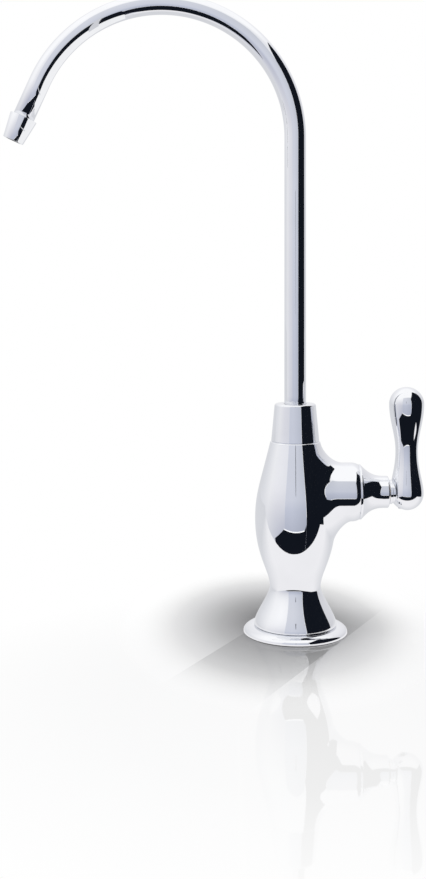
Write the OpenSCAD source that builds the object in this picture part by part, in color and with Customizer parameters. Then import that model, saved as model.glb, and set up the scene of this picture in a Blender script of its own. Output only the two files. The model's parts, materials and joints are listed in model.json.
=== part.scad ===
// Gooseneck drinking water faucet for a sink deck, with a quarter-turn lever.
// Millimetres. The origin is on the body's axis at the deck surface, +Z up.
// The spout points along -X and the valve and lever along +X.

/* [Deck mounting] */
// Thickness of the deck that the faucet is clamped to
deck_t = 20; // [10:1:30]
// Outside diameter of the threaded shank
shank_d = 11.1; // [10:0.1:12.6]
// Water bore through the shank
shank_bore = 6.4; // [5:0.1:7.5]
// Length of the shank below the deck surface
shank_drop = 50; // [46:1:70]
// Depth that the shank is screwed into the body's foot
shank_grip = 12; // [9:0.5:15]
// Width across the flats of the mounting nut
nut_af = 16; // [15:0.5:19]
// Height of the mounting nut
nut_h = 6.5; // [5:0.5:9]
// Outside diameter of the rubber washer under the deck
deck_washer_d = 28; // [24:1:34]
// Thickness of the rubber washer under the deck
deck_washer_t = 2.5; // [1.5:0.5:4]
// Outside diameter of the steel clamp washer
clamp_washer_d = 26; // [22:1:32]
// Thickness of the steel clamp washer
clamp_washer_t = 1.2; // [0.8:0.1:2]
// Thickness of the split lock washer
lock_washer_t = 1.6; // [1:0.1:2.4]
// Width of the split lock washer's ring
lock_washer_w = 2.6; // [2:0.1:3.4]

/* [Base plate] */
// Outside diameter of the round base plate
base_d = 45.2; // [43:0.2:50]
// Height of the base plate's flat top above the deck
base_h = 3.3; // [2.9:0.1:6]
// Sheet thickness of the base plate
base_t = 0.8; // [0.6:0.1:1.1]
// Gap between the plate's rim and the deck
rim_lift = 0.3; // [0.2:0.1:0.6]
// Height of the plate's upright rim
rim_h = 0.5; // [0.3:0.1:0.8]

/* [Body] */
// Diameter of the body's flared foot
foot_d = 36; // [34:0.2:38]
// Diameter of the waist above the foot
waist_d = 22.2; // [20:0.2:25]
// Height of the waist above the deck
waist_z = 20.3; // [18:0.1:23]
// Largest diameter of the vase-shaped body
belly_d = 35.1; // [33:0.2:38]
// Height of the largest diameter above the deck
belly_z = 49.7; // [47:0.1:52]
// Diameter of the body at its top rim
shoulder_d = 22; // [21.6:0.1:23]
// Height of the body's top face above the deck
body_top = 83.4; // [82:0.1:86]
// Slope of the body's side at the top rim, from vertical
shoulder_lean = 13.6; // [10:0.1:17]
// Slope of the body's side at the foot, from vertical
foot_lean = 8.3; // [4:0.1:14]
// Rounding of the body's top rim
shoulder_edge = 0.6; // [0.3:0.1:0.9]
// Rounding of the foot's lower edge
foot_edge = 0.7; // [0.3:0.1:1]
// Wall left around the hollow under the foot
foot_wall = 2.8; // [2:0.1:4]
// Depth of the hollow under the foot
foot_hollow = 4; // [2:0.5:6]

/* [Valve] */
// Height of the valve and lever axis above the deck
valve_z = 61.2; // [60.5:0.1:62.5]
// Diameter of the valve boss
boss_d = 25.4; // [24.6:0.1:26.4]
// Distance of the boss's end face from the body's axis
boss_end = 27.6; // [27:0.1:29]
// Length over which the boss's end is rounded
boss_edge_len = 3; // [2:0.1:3]
// Drop of the boss's radius over its rounded end
boss_edge = 0.8; // [0.4:0.1:1]
// Diameter of the valve chamber in the boss
chamber_d = 16.4; // [16:0.1:17.4]
// Distance of the chamber's floor from the body's axis
chamber_floor = 6; // [5.6:0.1:7]
// Diameter of the inlet passage up to the valve
inlet_d = 6; // [5:0.1:6.2]
// Diameter of the short passage to the chamber's floor
seat_d = 5.2; // [4:0.1:5.6]
// Diameter of the slanted passage from the chamber to the spout
outlet_d = 5; // [4:0.1:5.6]
// Diameter of the valve stem
stem_d = 8; // [7.6:0.1:8.4]
// Diameter of the ceramic discs
disc_d = 13.6; // [13.2:0.1:13.8]
// Thickness of each ceramic disc
disc_t = 2.4; // [2:0.1:2.8]
// Diameter of the water ports through the discs
port_d = 3.4; // [2.6:0.1:3.6]
// Distance of the ports from the valve's axis
port_offset = 3.6; // [3.2:0.1:3.8]
// Thickness of the seal on the chamber's floor
seat_seal_t = 2; // [1.6:0.1:2.4]
// Thickness of the stem's driving flange
driver_t = 2.7; // [2.2:0.1:3.2]
// Thickness of the low-friction washer on the stem
stem_washer_t = 1.4; // [1:0.1:1.8]
// Width across the flats of the cartridge's hexagon
cartridge_af = 15; // [14.4:0.1:15.6]
// Height of the cartridge's hexagon
cartridge_hex_h = 1.6; // [1.2:0.1:2]
// Diameter of the cartridge's threaded neck
cartridge_neck_d = 11.6; // [11:0.1:12]

/* [Bonnet] */
// Diameter of the bell-shaped bonnet at the seam
bonnet_d = 23.8; // [23.2:0.1:24.6]
// Diameter of the bonnet's narrow end
bonnet_end_d = 13.8; // [13.2:0.1:14.4]
// Length of the bonnet
bonnet_len = 13.1; // [12.6:0.1:14]
// Height of the bonnet's upright lip at the seam
bonnet_lip = 1.2; // [0.8:0.1:1.4]
// Chamfer on the bonnet's narrow end
bonnet_chamfer = 0.6; // [0.3:0.1:0.9]

/* [Lever] */
// Diameter of the lever's lower bulb, over the stem
hub_bulb_d = 14.7; // [13.6:0.1:15]
// Distance of the lower bulb's widest level below the valve axis
hub_bulb_drop = 0.5; // [0:0.1:1.5]
// Distance of the lever's lowest point below the valve axis
lever_drop = 7.9; // [7.2:0.1:8.4]
// Diameter of the lever's neck
lever_neck_d = 9.7; // [8:0.1:11]
// Height of the lever's neck above the valve axis
lever_neck_rise = 17.8; // [15:0.1:21]
// Diameter of the lever's upper bulb
grip_bulb_d = 15.2; // [13:0.1:17]
// Height of the upper bulb's widest level above the valve axis
grip_bulb_rise = 38.5; // [34:0.5:44]
// Height of the lever's tip above the valve axis
lever_rise = 45.9; // [42:0.1:52]
// Diameter of the ring at the lever's root
hub_ring_d = 10.5; // [10.2:0.1:11]
// Length of the ring at the lever's root
hub_ring_len = 1.3; // [1:0.1:1.6]
// Diameter of the lever's set screw
lever_screw_d = 4; // [3:0.5:4.5]

/* [Spout] */
// Outside diameter of the spout tube
tube_d = 9.5; // [9:0.1:10]
// Wall thickness of the spout tube
tube_wall = 0.8; // [0.6:0.1:1.1]
// Height of the bend's centre above the deck
bend_z = 216.3; // [190:0.1:240]
// Radius of the gooseneck's centre line
bend_r = 58.6; // [50:0.1:70]
// Angle that the gooseneck turns through
bend_deg = 155.5; // [140:0.5:175]
// Straight length from the bend to the end of the tip
tail_len = 28.1; // [20:0.1:40]
// Length of the tapered tip
tip_len = 11.3; // [10:0.1:14]
// Diameter of the tip where the tube enters
tip_d = 12.3; // [12:0.1:13]
// Diameter of the tip at its outlet
tip_end_d = 9.4; // [9:0.1:10]
// Depth that the tube reaches into the tip
tip_seat = 6.5; // [4:0.1:8]
// Diameter of the outlet hole
tip_bore = 6.6; // [5:0.1:7]

/* [Collar and swivel] */
// Height of the tapered collar
collar_h = 16.5; // [15.6:0.1:18]
// Diameter of the collar at its foot
collar_d = 21; // [20.6:0.1:21.4]
// Diameter of the collar at its top
collar_top_d = 18.1; // [17.8:0.1:19]
// Rounding of the collar's top edge
collar_edge = 1; // [0.5:0.1:1.2]
// Diameter of the body's threaded neck inside the collar
neck_d = 16.4; // [16:0.1:16.6]
// Height of the body's threaded neck
neck_h = 8.6; // [8:0.1:9.4]
// Diameter of the socket that the spout turns in
socket_d = 12.6; // [12.2:0.1:13]
// Depth of the socket below the body's top face
socket_depth = 3.4; // [3:0.1:3.8]
// Thickness of the slip washer under the spout's flange
slip_washer_t = 0.8; // [0.5:0.1:1.2]
// Diameter of the spout's flange
flange_d = 14; // [13.6:0.1:14.4]
// Thickness of the spout's flange
flange_t = 1.8; // [1.4:0.1:2.2]
// Water bore of the spout's bushing
bushing_bore = 6.4; // [5:0.1:6.8]
// Depth that the tube reaches into the bushing
tube_seat = 5.6; // [4.6:0.1:6]
// Width of the bushing's seal grooves
groove_w = 2.2; // [2:0.1:2.3]

/* [Water connector] */
// Tube size that the push-fit connector takes, as a bore
pipe_bore = 6.5; // [6.4:0.05:6.6]
// Depth of the connector's tube bore above its seal
pipe_depth = 9; // [8:0.5:12]
// Length of shank that the connector's thread covers
connector_grip = 9; // [7:0.5:11]
// Width across the flats of the connector's hexagon
connector_af = 15; // [14.5:0.1:17]
// Diameter of the connector's round end
connector_d = 14.4; // [13.8:0.1:15]
// Travel of the release collet
collet_travel = 1.2; // [0.8:0.1:1.5]

/* [Hidden] */
$fn = 96;

// Fits and clearances
thread_gap = 0.05;   // radial gap left by a screwed joint drawn plain
swivel_gap = 0.06;   // radial running gap of a turning pair
seat_gap = 0.3;      // gap between curved faces that don't bear on each other
seal_gap = 0.04;     // gap kept between a seal ring and its groove
cut = 1;             // extra length of a cutting tool past the face that it opens

// Colours of the finishes
CHROME = [0.86, 0.87, 0.89];
BRASS = [0.78, 0.66, 0.36];
STEEL = [0.7, 0.71, 0.72];
RUBBER = [0.12, 0.12, 0.12];
WHITE_PLASTIC = [0.91, 0.91, 0.89];
GREY_PLASTIC = [0.6, 0.61, 0.63];
CERAMIC = [0.96, 0.95, 0.91];

// Derived radii
shank_r = shank_d / 2;
base_r = base_d / 2;
foot_r = foot_d / 2;
boss_r = boss_d / 2;
chamber_r = chamber_d / 2;
stem_r = stem_d / 2;
tube_r = tube_d / 2;
socket_r = socket_d / 2;
collar_r = collar_d / 2;

// A cubic curve's point at t, and a run of points along it without its first
function bez(a, b, c, d, t) =
    pow(1 - t, 3) * a + 3 * pow(1 - t, 2) * t * b + 3 * (1 - t) * t * t * c + pow(t, 3) * d;
function curve(a, b, c, d, n) = [for (i = [1:n]) bez(a, b, c, d, i / n)];
// Points of a quarter round from angle a0 to a1 about a centre, with two radii
function round_pts(c, rx, ry, a0, a1, n) =
    [for (i = [0:n]) let (a = a0 + (a1 - a0) * i / n) c + [rx * cos(a), ry * sin(a)]];

module ring(r_out, r_in, h) {
    difference() {
        cylinder(r = r_out, h = h);
        translate([0, 0, -cut]) cylinder(r = r_in, h = h + 2 * cut);
    }
}

// Seal ring that fills the space from r_in to r_out, centred on z = 0
module seal_ring(r_in, r_out) {
    rotate_extrude() translate([(r_in + r_out) / 2, 0]) circle(r = (r_out - r_in) / 2 - seal_gap, $fn = 48);
}

module hexagon(af, h) {
    cylinder(d = af / cos(30), h = h, $fn = 6);
}

// Places a shape drawn along +Z so that it runs along the valve's axis from x
module on_valve(x) {
    translate([x, 0, valve_z]) rotate([0, 90, 0]) children();
}

// Round passage between two points of the XZ plane
module passage(from, to, d) {
    run = to - from;
    translate([from[0], 0, from[1]]) rotate([0, atan2(run[0], run[1]), 0]) cylinder(d = d, h = norm(run));
}

/* Body */

// Half outline of the vase as [radius, height], from the foot to the top rim
foot_handle = 4.6;
waist_handle_low = 4.2;
waist_handle_high = 6.3;
belly_handle_low = 16.4;
belly_handle_high = 11;
shoulder_handle = 17.4;
foot_pt = [foot_r, base_h + foot_edge];
waist_pt = [waist_d / 2, waist_z];
belly_pt = [belly_d / 2, belly_z];
shoulder_pt = [shoulder_d / 2, body_top - shoulder_edge];
vase_side = concat(
    [foot_pt],
    curve(foot_pt, foot_pt + foot_handle * [-sin(foot_lean), cos(foot_lean)],
        waist_pt - [0, waist_handle_low], waist_pt, 9),
    curve(waist_pt, waist_pt + [0, waist_handle_high], belly_pt - [0, belly_handle_low], belly_pt, 12),
    curve(belly_pt, belly_pt + [0, belly_handle_high],
        shoulder_pt + shoulder_handle * [sin(shoulder_lean), -cos(shoulder_lean)], shoulder_pt, 14)
);
vase_outline = concat(
    [[0, base_h]],
    round_pts([foot_r - foot_edge, base_h + foot_edge], foot_edge, foot_edge, -90, -15, 4),
    vase_side,
    round_pts([shoulder_d / 2 - shoulder_edge, body_top - shoulder_edge], shoulder_edge, shoulder_edge,
        15, 90, 4),
    [[0, body_top]]
);
vase_table = [for (p = vase_side) [p[1], p[0]]];

// Where the boss's fillet leaves the boss and where it ends on the vase, by angle from the top
fillet_boss_top = 21;
fillet_boss_side = 17.5;
fillet_boss_low = 24.5;
fillet_vase_top = shoulder_pt[1] - valve_z;
fillet_vase_side = 15;
fillet_vase_low = 21.5;
fillet_fullness = 0.33;
fillet_low_fullness = 0.2;
fillet_sink = 0.12;
fillet_around = 72;
fillet_steps = 12;

function blend(phi, top, side, low) =
    cos(phi) > 0 ? side + (top - side) * pow(cos(phi), 4) : side + (low - side) * pow(cos(phi), 2);
// X of the vase's surface at the distance rho from the valve axis, at the angle phi
function vase_x(phi, rho) =
    sqrt(max(0, pow(lookup(valve_z + rho * cos(phi), vase_table), 2) - pow(rho * sin(phi), 2)));
function unit(v) = v / norm(v);

// One fillet line as [x, rho] points from the boss to the vase
function fillet_line(phi) =
    let (
        start = [blend(phi, fillet_boss_top, fillet_boss_side, fillet_boss_low), boss_r],
        rho = blend(phi, fillet_vase_top, fillet_vase_side, fillet_vase_low),
        end = [vase_x(phi, rho), rho],
        step = 0.2,
        along = unit(end - [vase_x(phi, rho - step), rho - step]),
        inward = [-along[1], along[0]],
        span = norm(end - start),
        reach = blend(phi, fillet_fullness, fillet_fullness, fillet_low_fullness) * span,
        low_start = start - [0, fillet_sink],
        low_end = end + fillet_sink * inward
    )
    concat([low_start], curve(low_start, low_start - [reach, 0],
        low_end - fillet_fullness * span * along, low_end, fillet_steps));

// Half outline of the boss as [radius, distance along the valve axis], with its end rounded
boss_edge_r = (pow(boss_edge_len, 2) + pow(boss_edge, 2)) / (2 * boss_edge);
boss_outline = concat(
    [[0, 0], [boss_r, 0]],
    round_pts([boss_r - boss_edge_r, boss_end - boss_edge_len], boss_edge_r, boss_edge_r,
        0, asin(boss_edge_len / boss_edge_r), 6),
    [[0, boss_end]]
);

// Closed solid under the fillet lines, round the valve axis
module boss_fillet() {
    lines = [for (i = [0:fillet_around - 1]) fillet_line(360 * i / fillet_around)];
    rings = fillet_steps + 1;
    points = concat(
        [for (i = [0:fillet_around - 1]) for (p = lines[i])
            let (phi = 360 * i / fillet_around) [p[0], p[1] * sin(phi), valve_z + p[1] * cos(phi)]],
        [[fillet_boss_top, 0, valve_z], [0, 0, valve_z]]
    );
    near = fillet_around * rings;
    faces = concat(
        [for (i = [0:fillet_around - 1]) for (k = [0:rings - 2]) for (half = [0, 1])
            let (a = i * rings + k, b = (i + 1) % fillet_around * rings + k)
                half == 0 ? [a, a + 1, b + 1] : [a, b + 1, b]],
        [for (i = [0:fillet_around - 1]) [i * rings, (i + 1) % fillet_around * rings, near]],
        [for (i = [0:fillet_around - 1])
            [i * rings + rings - 1, near + 1, (i + 1) % fillet_around * rings + rings - 1]]
    );
    polyhedron(points = points, faces = faces, convexity = 6);
}

shank_top = base_h + shank_grip;
neck_top = body_top + neck_h;
socket_floor = body_top - socket_depth;

module body_casting() {
    color(CHROME) difference() {
        union() {
            rotate_extrude() polygon(vase_outline);
            on_valve(0) rotate_extrude() polygon(boss_outline);
            boss_fillet();
            translate([0, 0, body_top - cut]) cylinder(d = neck_d, h = neck_h + cut);
        }
        translate([0, 0, base_h - cut]) cylinder(r = shank_r + thread_gap, h = shank_grip + cut);
        translate([0, 0, base_h - cut])
            ring(foot_r - foot_wall, shank_r + foot_wall, foot_hollow + cut);
        translate([0, 0, shank_top - cut])
            cylinder(d = inlet_d, h = valve_z + inlet_d / 2 - shank_top + cut);
        on_valve(0) cylinder(d = seat_d, h = chamber_floor + cut);
        on_valve(chamber_floor) cylinder(r = chamber_r, h = boss_end - chamber_floor + cut);
        passage([chamber_floor + chamber_r, valve_z + chamber_r - outlet_d / 2],
            [0, socket_floor + outlet_d / 2], outlet_d);
        translate([0, 0, socket_floor]) cylinder(r = socket_r, h = neck_top - socket_floor + cut);
    }
}

/* Base and deck hardware */

plate_ledge = 0.5;
plate_flat_r = foot_r + plate_ledge;
// Outer line of the dished plate, set inwards by d
function plate_line(d) =
    let (
        rim = [base_r - d, rim_lift + rim_h],
        crown = [plate_flat_r, base_h - d],
        rise = (crown[1] - rim[1]) / 2,
        run = (rim[0] - crown[0]) / 2
    )
    concat([[base_r - d, rim_lift], rim], curve(rim, rim + [0, rise], crown + [run, 0], crown, 8));
plate_hole_r = shank_r + seat_gap;

module base_plate() {
    outer = plate_line(0);
    inner = plate_line(base_t);
    last = len(inner) - 1;
    color(CHROME) rotate_extrude()
        polygon(concat(outer, [[plate_hole_r, base_h], [plate_hole_r, base_h - base_t]],
            [for (i = [last:-1:0]) inner[i]]));
}

gasket_r = base_r - base_t - 2 * seat_gap;
gasket_inset = 1;
gasket_top_r = plate_flat_r - gasket_inset;

module deck_gasket() {
    color(RUBBER) rotate_extrude()
        polygon([[plate_hole_r, 0], [gasket_r, 0], [gasket_r, rim_lift + rim_h],
            [gasket_top_r, base_h - base_t], [plate_hole_r, base_h - base_t]]);
}

module threaded_shank() {
    color(BRASS) translate([0, 0, -shank_drop])
        ring(shank_r, shank_bore / 2, shank_drop + shank_top);
}

washer_bore_r = shank_r + seat_gap;
deck_washer_z = -deck_t - deck_washer_t;
clamp_washer_z = deck_washer_z - clamp_washer_t;
lock_washer_z = clamp_washer_z - lock_washer_t;
nut_z = lock_washer_z - nut_h;

module deck_washer() {
    color(RUBBER) translate([0, 0, deck_washer_z])
        ring(deck_washer_d / 2, washer_bore_r, deck_washer_t);
}

module clamp_washer() {
    color(STEEL) translate([0, 0, clamp_washer_z])
        ring(clamp_washer_d / 2, washer_bore_r, clamp_washer_t);
}

lock_washer_slit = 1.5;
lock_washer_skew = 25;

module lock_washer() {
    color(STEEL) translate([0, 0, lock_washer_z]) difference() {
        ring(washer_bore_r + lock_washer_w, washer_bore_r, lock_washer_t);
        translate([washer_bore_r + lock_washer_w / 2, 0, lock_washer_t / 2])
            rotate([lock_washer_skew, 0, 0])
                cube([2 * lock_washer_w, lock_washer_slit, 4 * lock_washer_t], center = true);
    }
}

nut_bevel = 1;

module mounting_nut() {
    corner_r = nut_af / 2 / cos(30);
    color(STEEL) translate([0, 0, nut_z]) difference() {
        intersection() {
            hexagon(nut_af, nut_h);
            rotate_extrude() polygon([[0, 0], [nut_af / 2, 0], [corner_r, nut_bevel],
                [corner_r, nut_h - nut_bevel], [nut_af / 2, nut_h], [0, nut_h]]);
        }
        translate([0, 0, -cut]) cylinder(r = shank_r + thread_gap, h = nut_h + 2 * cut);
    }
}

/* Water connector */

pipe_r = pipe_bore / 2;
pipe_stop_lip = 1;
connector_top = -shank_drop + connector_grip;
connector_washer_t = 1.5;
connector_land = 5;
pipe_stop_z = -shank_drop - connector_washer_t - connector_land;
pipe_seal_z = pipe_stop_z - pipe_depth;
pipe_seal_h = 2.2;
pipe_seal_w = 1.7;
pipe_seal_r = pipe_r + pipe_seal_w;
collet_room_z = pipe_seal_z - pipe_seal_h;
collet_room_len = 6.5;
connector_end = collet_room_z - collet_room_len;
collet_wall = 1.3;
collet_flange_w = 2.4;
collet_flange_r = pipe_r + collet_flange_w;
collet_flange_t = 1.4;
collet_pipe_gap = 0.05;
connector_hex_h = connector_grip + connector_washer_t + connector_land / 2;

module connector_body() {
    color(WHITE_PLASTIC) difference() {
        union() {
            translate([0, 0, connector_top - connector_hex_h]) hexagon(connector_af, connector_hex_h);
            translate([0, 0, connector_end])
                cylinder(d = connector_d, h = connector_top - connector_end - connector_grip);
        }
        translate([0, 0, -shank_drop - connector_washer_t])
            cylinder(r = shank_r + thread_gap, h = connector_grip + connector_washer_t + cut);
        translate([0, 0, pipe_stop_z - cut])
            cylinder(r = pipe_r - pipe_stop_lip, h = connector_land + 2 * cut);
        translate([0, 0, pipe_seal_z - cut]) cylinder(r = pipe_r, h = pipe_depth + cut);
        translate([0, 0, collet_room_z]) cylinder(r = pipe_seal_r, h = pipe_seal_h);
        translate([0, 0, connector_end - cut])
            cylinder(r = pipe_r + collet_wall + seat_gap, h = collet_room_len + 2 * cut);
    }
}

module connector_washer() {
    color(RUBBER) translate([0, 0, -shank_drop - connector_washer_t])
        ring(shank_r - seat_gap, pipe_r - pipe_stop_lip, connector_washer_t);
}

module connector_o_ring() {
    color(RUBBER) translate([0, 0, collet_room_z + pipe_seal_h / 2])
        seal_ring(pipe_r, pipe_seal_r);
}

module connector_collet() {
    sleeve_top = collet_room_z - collet_travel - seat_gap;
    flange_z = connector_end - collet_travel - seat_gap - collet_flange_t;
    color(GREY_PLASTIC) difference() {
        union() {
            translate([0, 0, flange_z]) cylinder(r = pipe_r + collet_wall, h = sleeve_top - flange_z);
            translate([0, 0, flange_z]) cylinder(r = collet_flange_r, h = collet_flange_t);
        }
        translate([0, 0, flange_z - cut])
            cylinder(r = pipe_r + collet_pipe_gap, h = sleeve_top - flange_z + 2 * cut);
    }
}

/* Collar and swivel */

flange_z = neck_top + slip_washer_t;
flange_top = flange_z + flange_t;
collar_top = body_top + collar_h;
collar_shoulder = flange_top + seat_gap;

module collar() {
    foot_bevel = 0.3;
    color(CHROME) difference() {
        translate([0, 0, body_top]) rotate_extrude() polygon(concat(
            [[0, 0], [collar_r - foot_bevel, 0], [collar_r, foot_bevel]],
            round_pts([collar_top_d / 2 - collar_edge, collar_h - collar_edge], collar_edge, collar_edge,
                0, 90, 6),
            [[0, collar_h]]));
        translate([0, 0, body_top - cut])
            cylinder(r = neck_d / 2 + thread_gap, h = neck_h + slip_washer_t + cut);
        translate([0, 0, flange_z - cut])
            cylinder(r = flange_d / 2 + seat_gap, h = collar_shoulder - flange_z + cut);
        translate([0, 0, collar_shoulder - cut])
            cylinder(r = tube_r + seat_gap, h = collar_top - collar_shoulder + 2 * cut);
    }
}

module slip_washer() {
    color(WHITE_PLASTIC) translate([0, 0, neck_top])
        ring(neck_d / 2 - seat_gap, socket_r + seat_gap, slip_washer_t);
}

bushing_r = socket_r - swivel_gap;
bushing_z = socket_floor + seat_gap;
tube_floor = flange_top - tube_seat;
groove_r = tube_r - thread_gap;
groove_land = 1.3;
groove_low_z = bushing_z + groove_land;
groove_high_z = groove_low_z + groove_w + groove_land;

module spout_bushing() {
    color(BRASS) difference() {
        union() {
            translate([0, 0, bushing_z]) cylinder(r = bushing_r, h = flange_top - bushing_z);
            translate([0, 0, flange_z]) cylinder(d = flange_d, h = flange_t);
        }
        translate([0, 0, bushing_z - cut]) cylinder(d = bushing_bore, h = flange_top - bushing_z + 2 * cut);
        translate([0, 0, tube_floor]) cylinder(r = tube_r + thread_gap, h = tube_seat + cut);
        for (z = [groove_low_z, groove_high_z])
            translate([0, 0, z]) ring(bushing_r + cut, groove_r, groove_w);
    }
}

module spout_seal(z) {
    color(RUBBER) translate([0, 0, z + groove_w / 2]) seal_ring(groove_r, socket_r);
}

module spout_o_ring_lower() {
    spout_seal(groove_low_z);
}

module spout_o_ring_upper() {
    spout_seal(groove_high_z);
}

/* Spout */

bend_end = [-bend_r + bend_r * cos(bend_deg), bend_z + bend_r * sin(bend_deg)];
tube_tail = tail_len - tip_len + tip_seat;

// Places a shape drawn along +Z on the straight tail, s from the end of the bend
module on_tail(s) {
    translate([bend_end[0], 0, bend_end[1]]) rotate([0, -bend_deg, 0]) translate([0, 0, s]) children();
}

// The tail starts this far back inside the bend and is this much thinner, which joins the two in one solid
tail_lap = 0.4;
tail_ease = 0.01;

// Solid rod along the gooseneck's centre line, with its ends made longer by extra
module gooseneck(r, extra) {
    translate([0, 0, tube_floor - extra]) cylinder(r = r, h = bend_z - tube_floor + extra);
    translate([-bend_r, 0, bend_z]) rotate([90, 0, 0])
        rotate_extrude(angle = bend_deg) translate([bend_r, 0]) circle(r = r);
    on_tail(-tail_lap) cylinder(r = r - tail_ease, h = tail_lap + tube_tail + extra);
}

module spout_tube() {
    color(CHROME) difference() {
        gooseneck(tube_r, 0);
        gooseneck(tube_r - tube_wall, cut);
    }
}

module spout_tip() {
    tip_bevel = 0.3;
    color(CHROME) on_tail(tail_len - tip_len) difference() {
        rotate_extrude() polygon([[0, 0], [tip_d / 2 - tip_bevel, 0], [tip_d / 2, tip_bevel],
            [tip_end_d / 2, tip_len - tip_bevel], [tip_end_d / 2 - tip_bevel, tip_len], [0, tip_len]]);
        translate([0, 0, -cut]) cylinder(r = tube_r + thread_gap, h = tip_seat + cut);
        translate([0, 0, tip_seat - cut]) cylinder(d = tip_bore, h = tip_len - tip_seat + 2 * cut);
    }
}

/* Valve cartridge, from the chamber's floor outwards */

skirt_gap = 0.15;
skirt_r = disc_d / 2 + skirt_gap;
seal_bore_r = port_offset + port_d / 2 + seat_gap;
fixed_disc_x = chamber_floor + seat_seal_t;
moving_disc_x = fixed_disc_x + disc_t;
driver_x = moving_disc_x + disc_t;
stem_washer_x = driver_x + driver_t;
skirt_end_x = stem_washer_x + stem_washer_t;
neck_end_x = 36;
stem_end_x = 50.2;

module seat_seal() {
    color(RUBBER) on_valve(chamber_floor)
        ring(skirt_r - skirt_gap, seal_bore_r, seat_seal_t);
}

// Ceramic disc with its two ports turned by angle
module disc(angle) {
    rotate([0, 0, angle]) difference() {
        cylinder(d = disc_d, h = disc_t);
        for (side = [-1, 1])
            translate([side * port_offset, 0, -cut]) cylinder(d = port_d, h = disc_t + 2 * cut);
    }
}

slot_w = 3;
slot_depth = 1;
slot_gap = 0.05;

module fixed_disc() {
    color(CERAMIC) on_valve(fixed_disc_x) disc(90);
}

module moving_disc() {
    color(CERAMIC) on_valve(moving_disc_x) difference() {
        disc(0);
        translate([-disc_d, -slot_w / 2, disc_t - slot_depth]) cube([2 * disc_d, slot_w, slot_depth + cut]);
    }
}

module stem_washer() {
    color(WHITE_PLASTIC) on_valve(stem_washer_x)
        ring(skirt_r - skirt_gap, stem_r + seat_gap, stem_washer_t);
}

stem_groove_r = 2.8;
stem_groove_w = 1.6;
stem_groove_x = [20, 23.4];
clip_groove_r = 3.2;
clip_t = 0.8;
clip_play = 0.1;
clip_x = neck_end_x + clip_play;
clip_mouth = 0.8;    // width of the clip's mouth as a part of its groove's diameter
clip_r = 5.4;
flat_drop = 3.2;
flat_x = 43.4;

module cartridge_stem() {
    driver_r = disc_d / 2;
    tongue_w = slot_w - 2 * slot_gap;
    tongue_h = slot_depth - slot_gap;
    color(BRASS) difference() {
        union() {
            on_valve(driver_x) cylinder(r = driver_r, h = driver_t);
            on_valve(driver_x) cylinder(r = stem_r, h = stem_end_x - driver_x);
            on_valve(driver_x - tongue_h) intersection() {
                cylinder(r = driver_r - seat_gap, h = tongue_h + cut);
                translate([-driver_r, -tongue_w / 2, 0]) cube([2 * driver_r, tongue_w, tongue_h + cut]);
            }
        }
        for (x = stem_groove_x)
            on_valve(x) ring(stem_r + cut, stem_groove_r, stem_groove_w);
        on_valve(clip_x) ring(stem_r + cut, clip_groove_r, clip_t + 2 * seal_gap);
        translate([flat_x, -stem_d, valve_z - flat_drop - stem_d]) cube([stem_end_x, 2 * stem_d, stem_d]);
    }
}

module stem_o_rings() {
    color(RUBBER) for (x = stem_groove_x)
        on_valve(x + stem_groove_w / 2) seal_ring(stem_groove_r, stem_r + swivel_gap);
}

module retaining_clip() {
    mouth = 2 * clip_groove_r * clip_mouth;
    color(STEEL) on_valve(clip_x + seal_gap) difference() {
        ring(clip_r, clip_groove_r + seal_gap, clip_t);
        translate([0, -mouth / 2, -cut]) cube([clip_r + cut, mouth, clip_t + 2 * cut]);
    }
}

housing_r = chamber_r - thread_gap;
housing_lift = 1.2;
window_w = 7;
window_lap = 0.4;
window_x = driver_x - window_lap;
housing_groove_x = 24;
housing_groove_w = 2;
housing_groove_r = 6.9;

module cartridge_housing() {
    start_x = chamber_floor + housing_lift;
    color(BRASS) difference() {
        union() {
            on_valve(start_x) cylinder(r = housing_r, h = boss_end - start_x);
            on_valve(boss_end) hexagon(cartridge_af, cartridge_hex_h);
            on_valve(boss_end) cylinder(d = cartridge_neck_d, h = neck_end_x - boss_end);
        }
        on_valve(start_x - cut) cylinder(r = skirt_r, h = skirt_end_x - start_x + cut);
        on_valve(skirt_end_x - cut)
            cylinder(r = stem_r + swivel_gap, h = neck_end_x - skirt_end_x + 2 * cut);
        translate([window_x, -window_w / 2, valve_z - 2 * chamber_r])
            cube([stem_washer_x - window_x, window_w, 4 * chamber_r]);
        on_valve(housing_groove_x) ring(housing_r + cut, housing_groove_r, housing_groove_w);
    }
}

module cartridge_o_ring() {
    color(RUBBER) on_valve(housing_groove_x + housing_groove_w / 2)
        seal_ring(housing_groove_r, chamber_r);
}

/* Bonnet and lever */

bonnet_end_x = boss_end + bonnet_len;
bonnet_play = 0.15;
bonnet_bore_r = cartridge_neck_d / 2 + bonnet_play;
bonnet_wall = 2.5;
bonnet_edge = 0.35;
bonnet_land = 2.2;
bonnet_handle = 5;
bonnet_flare = 3.4;
bonnet_lean = 45;

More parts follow.
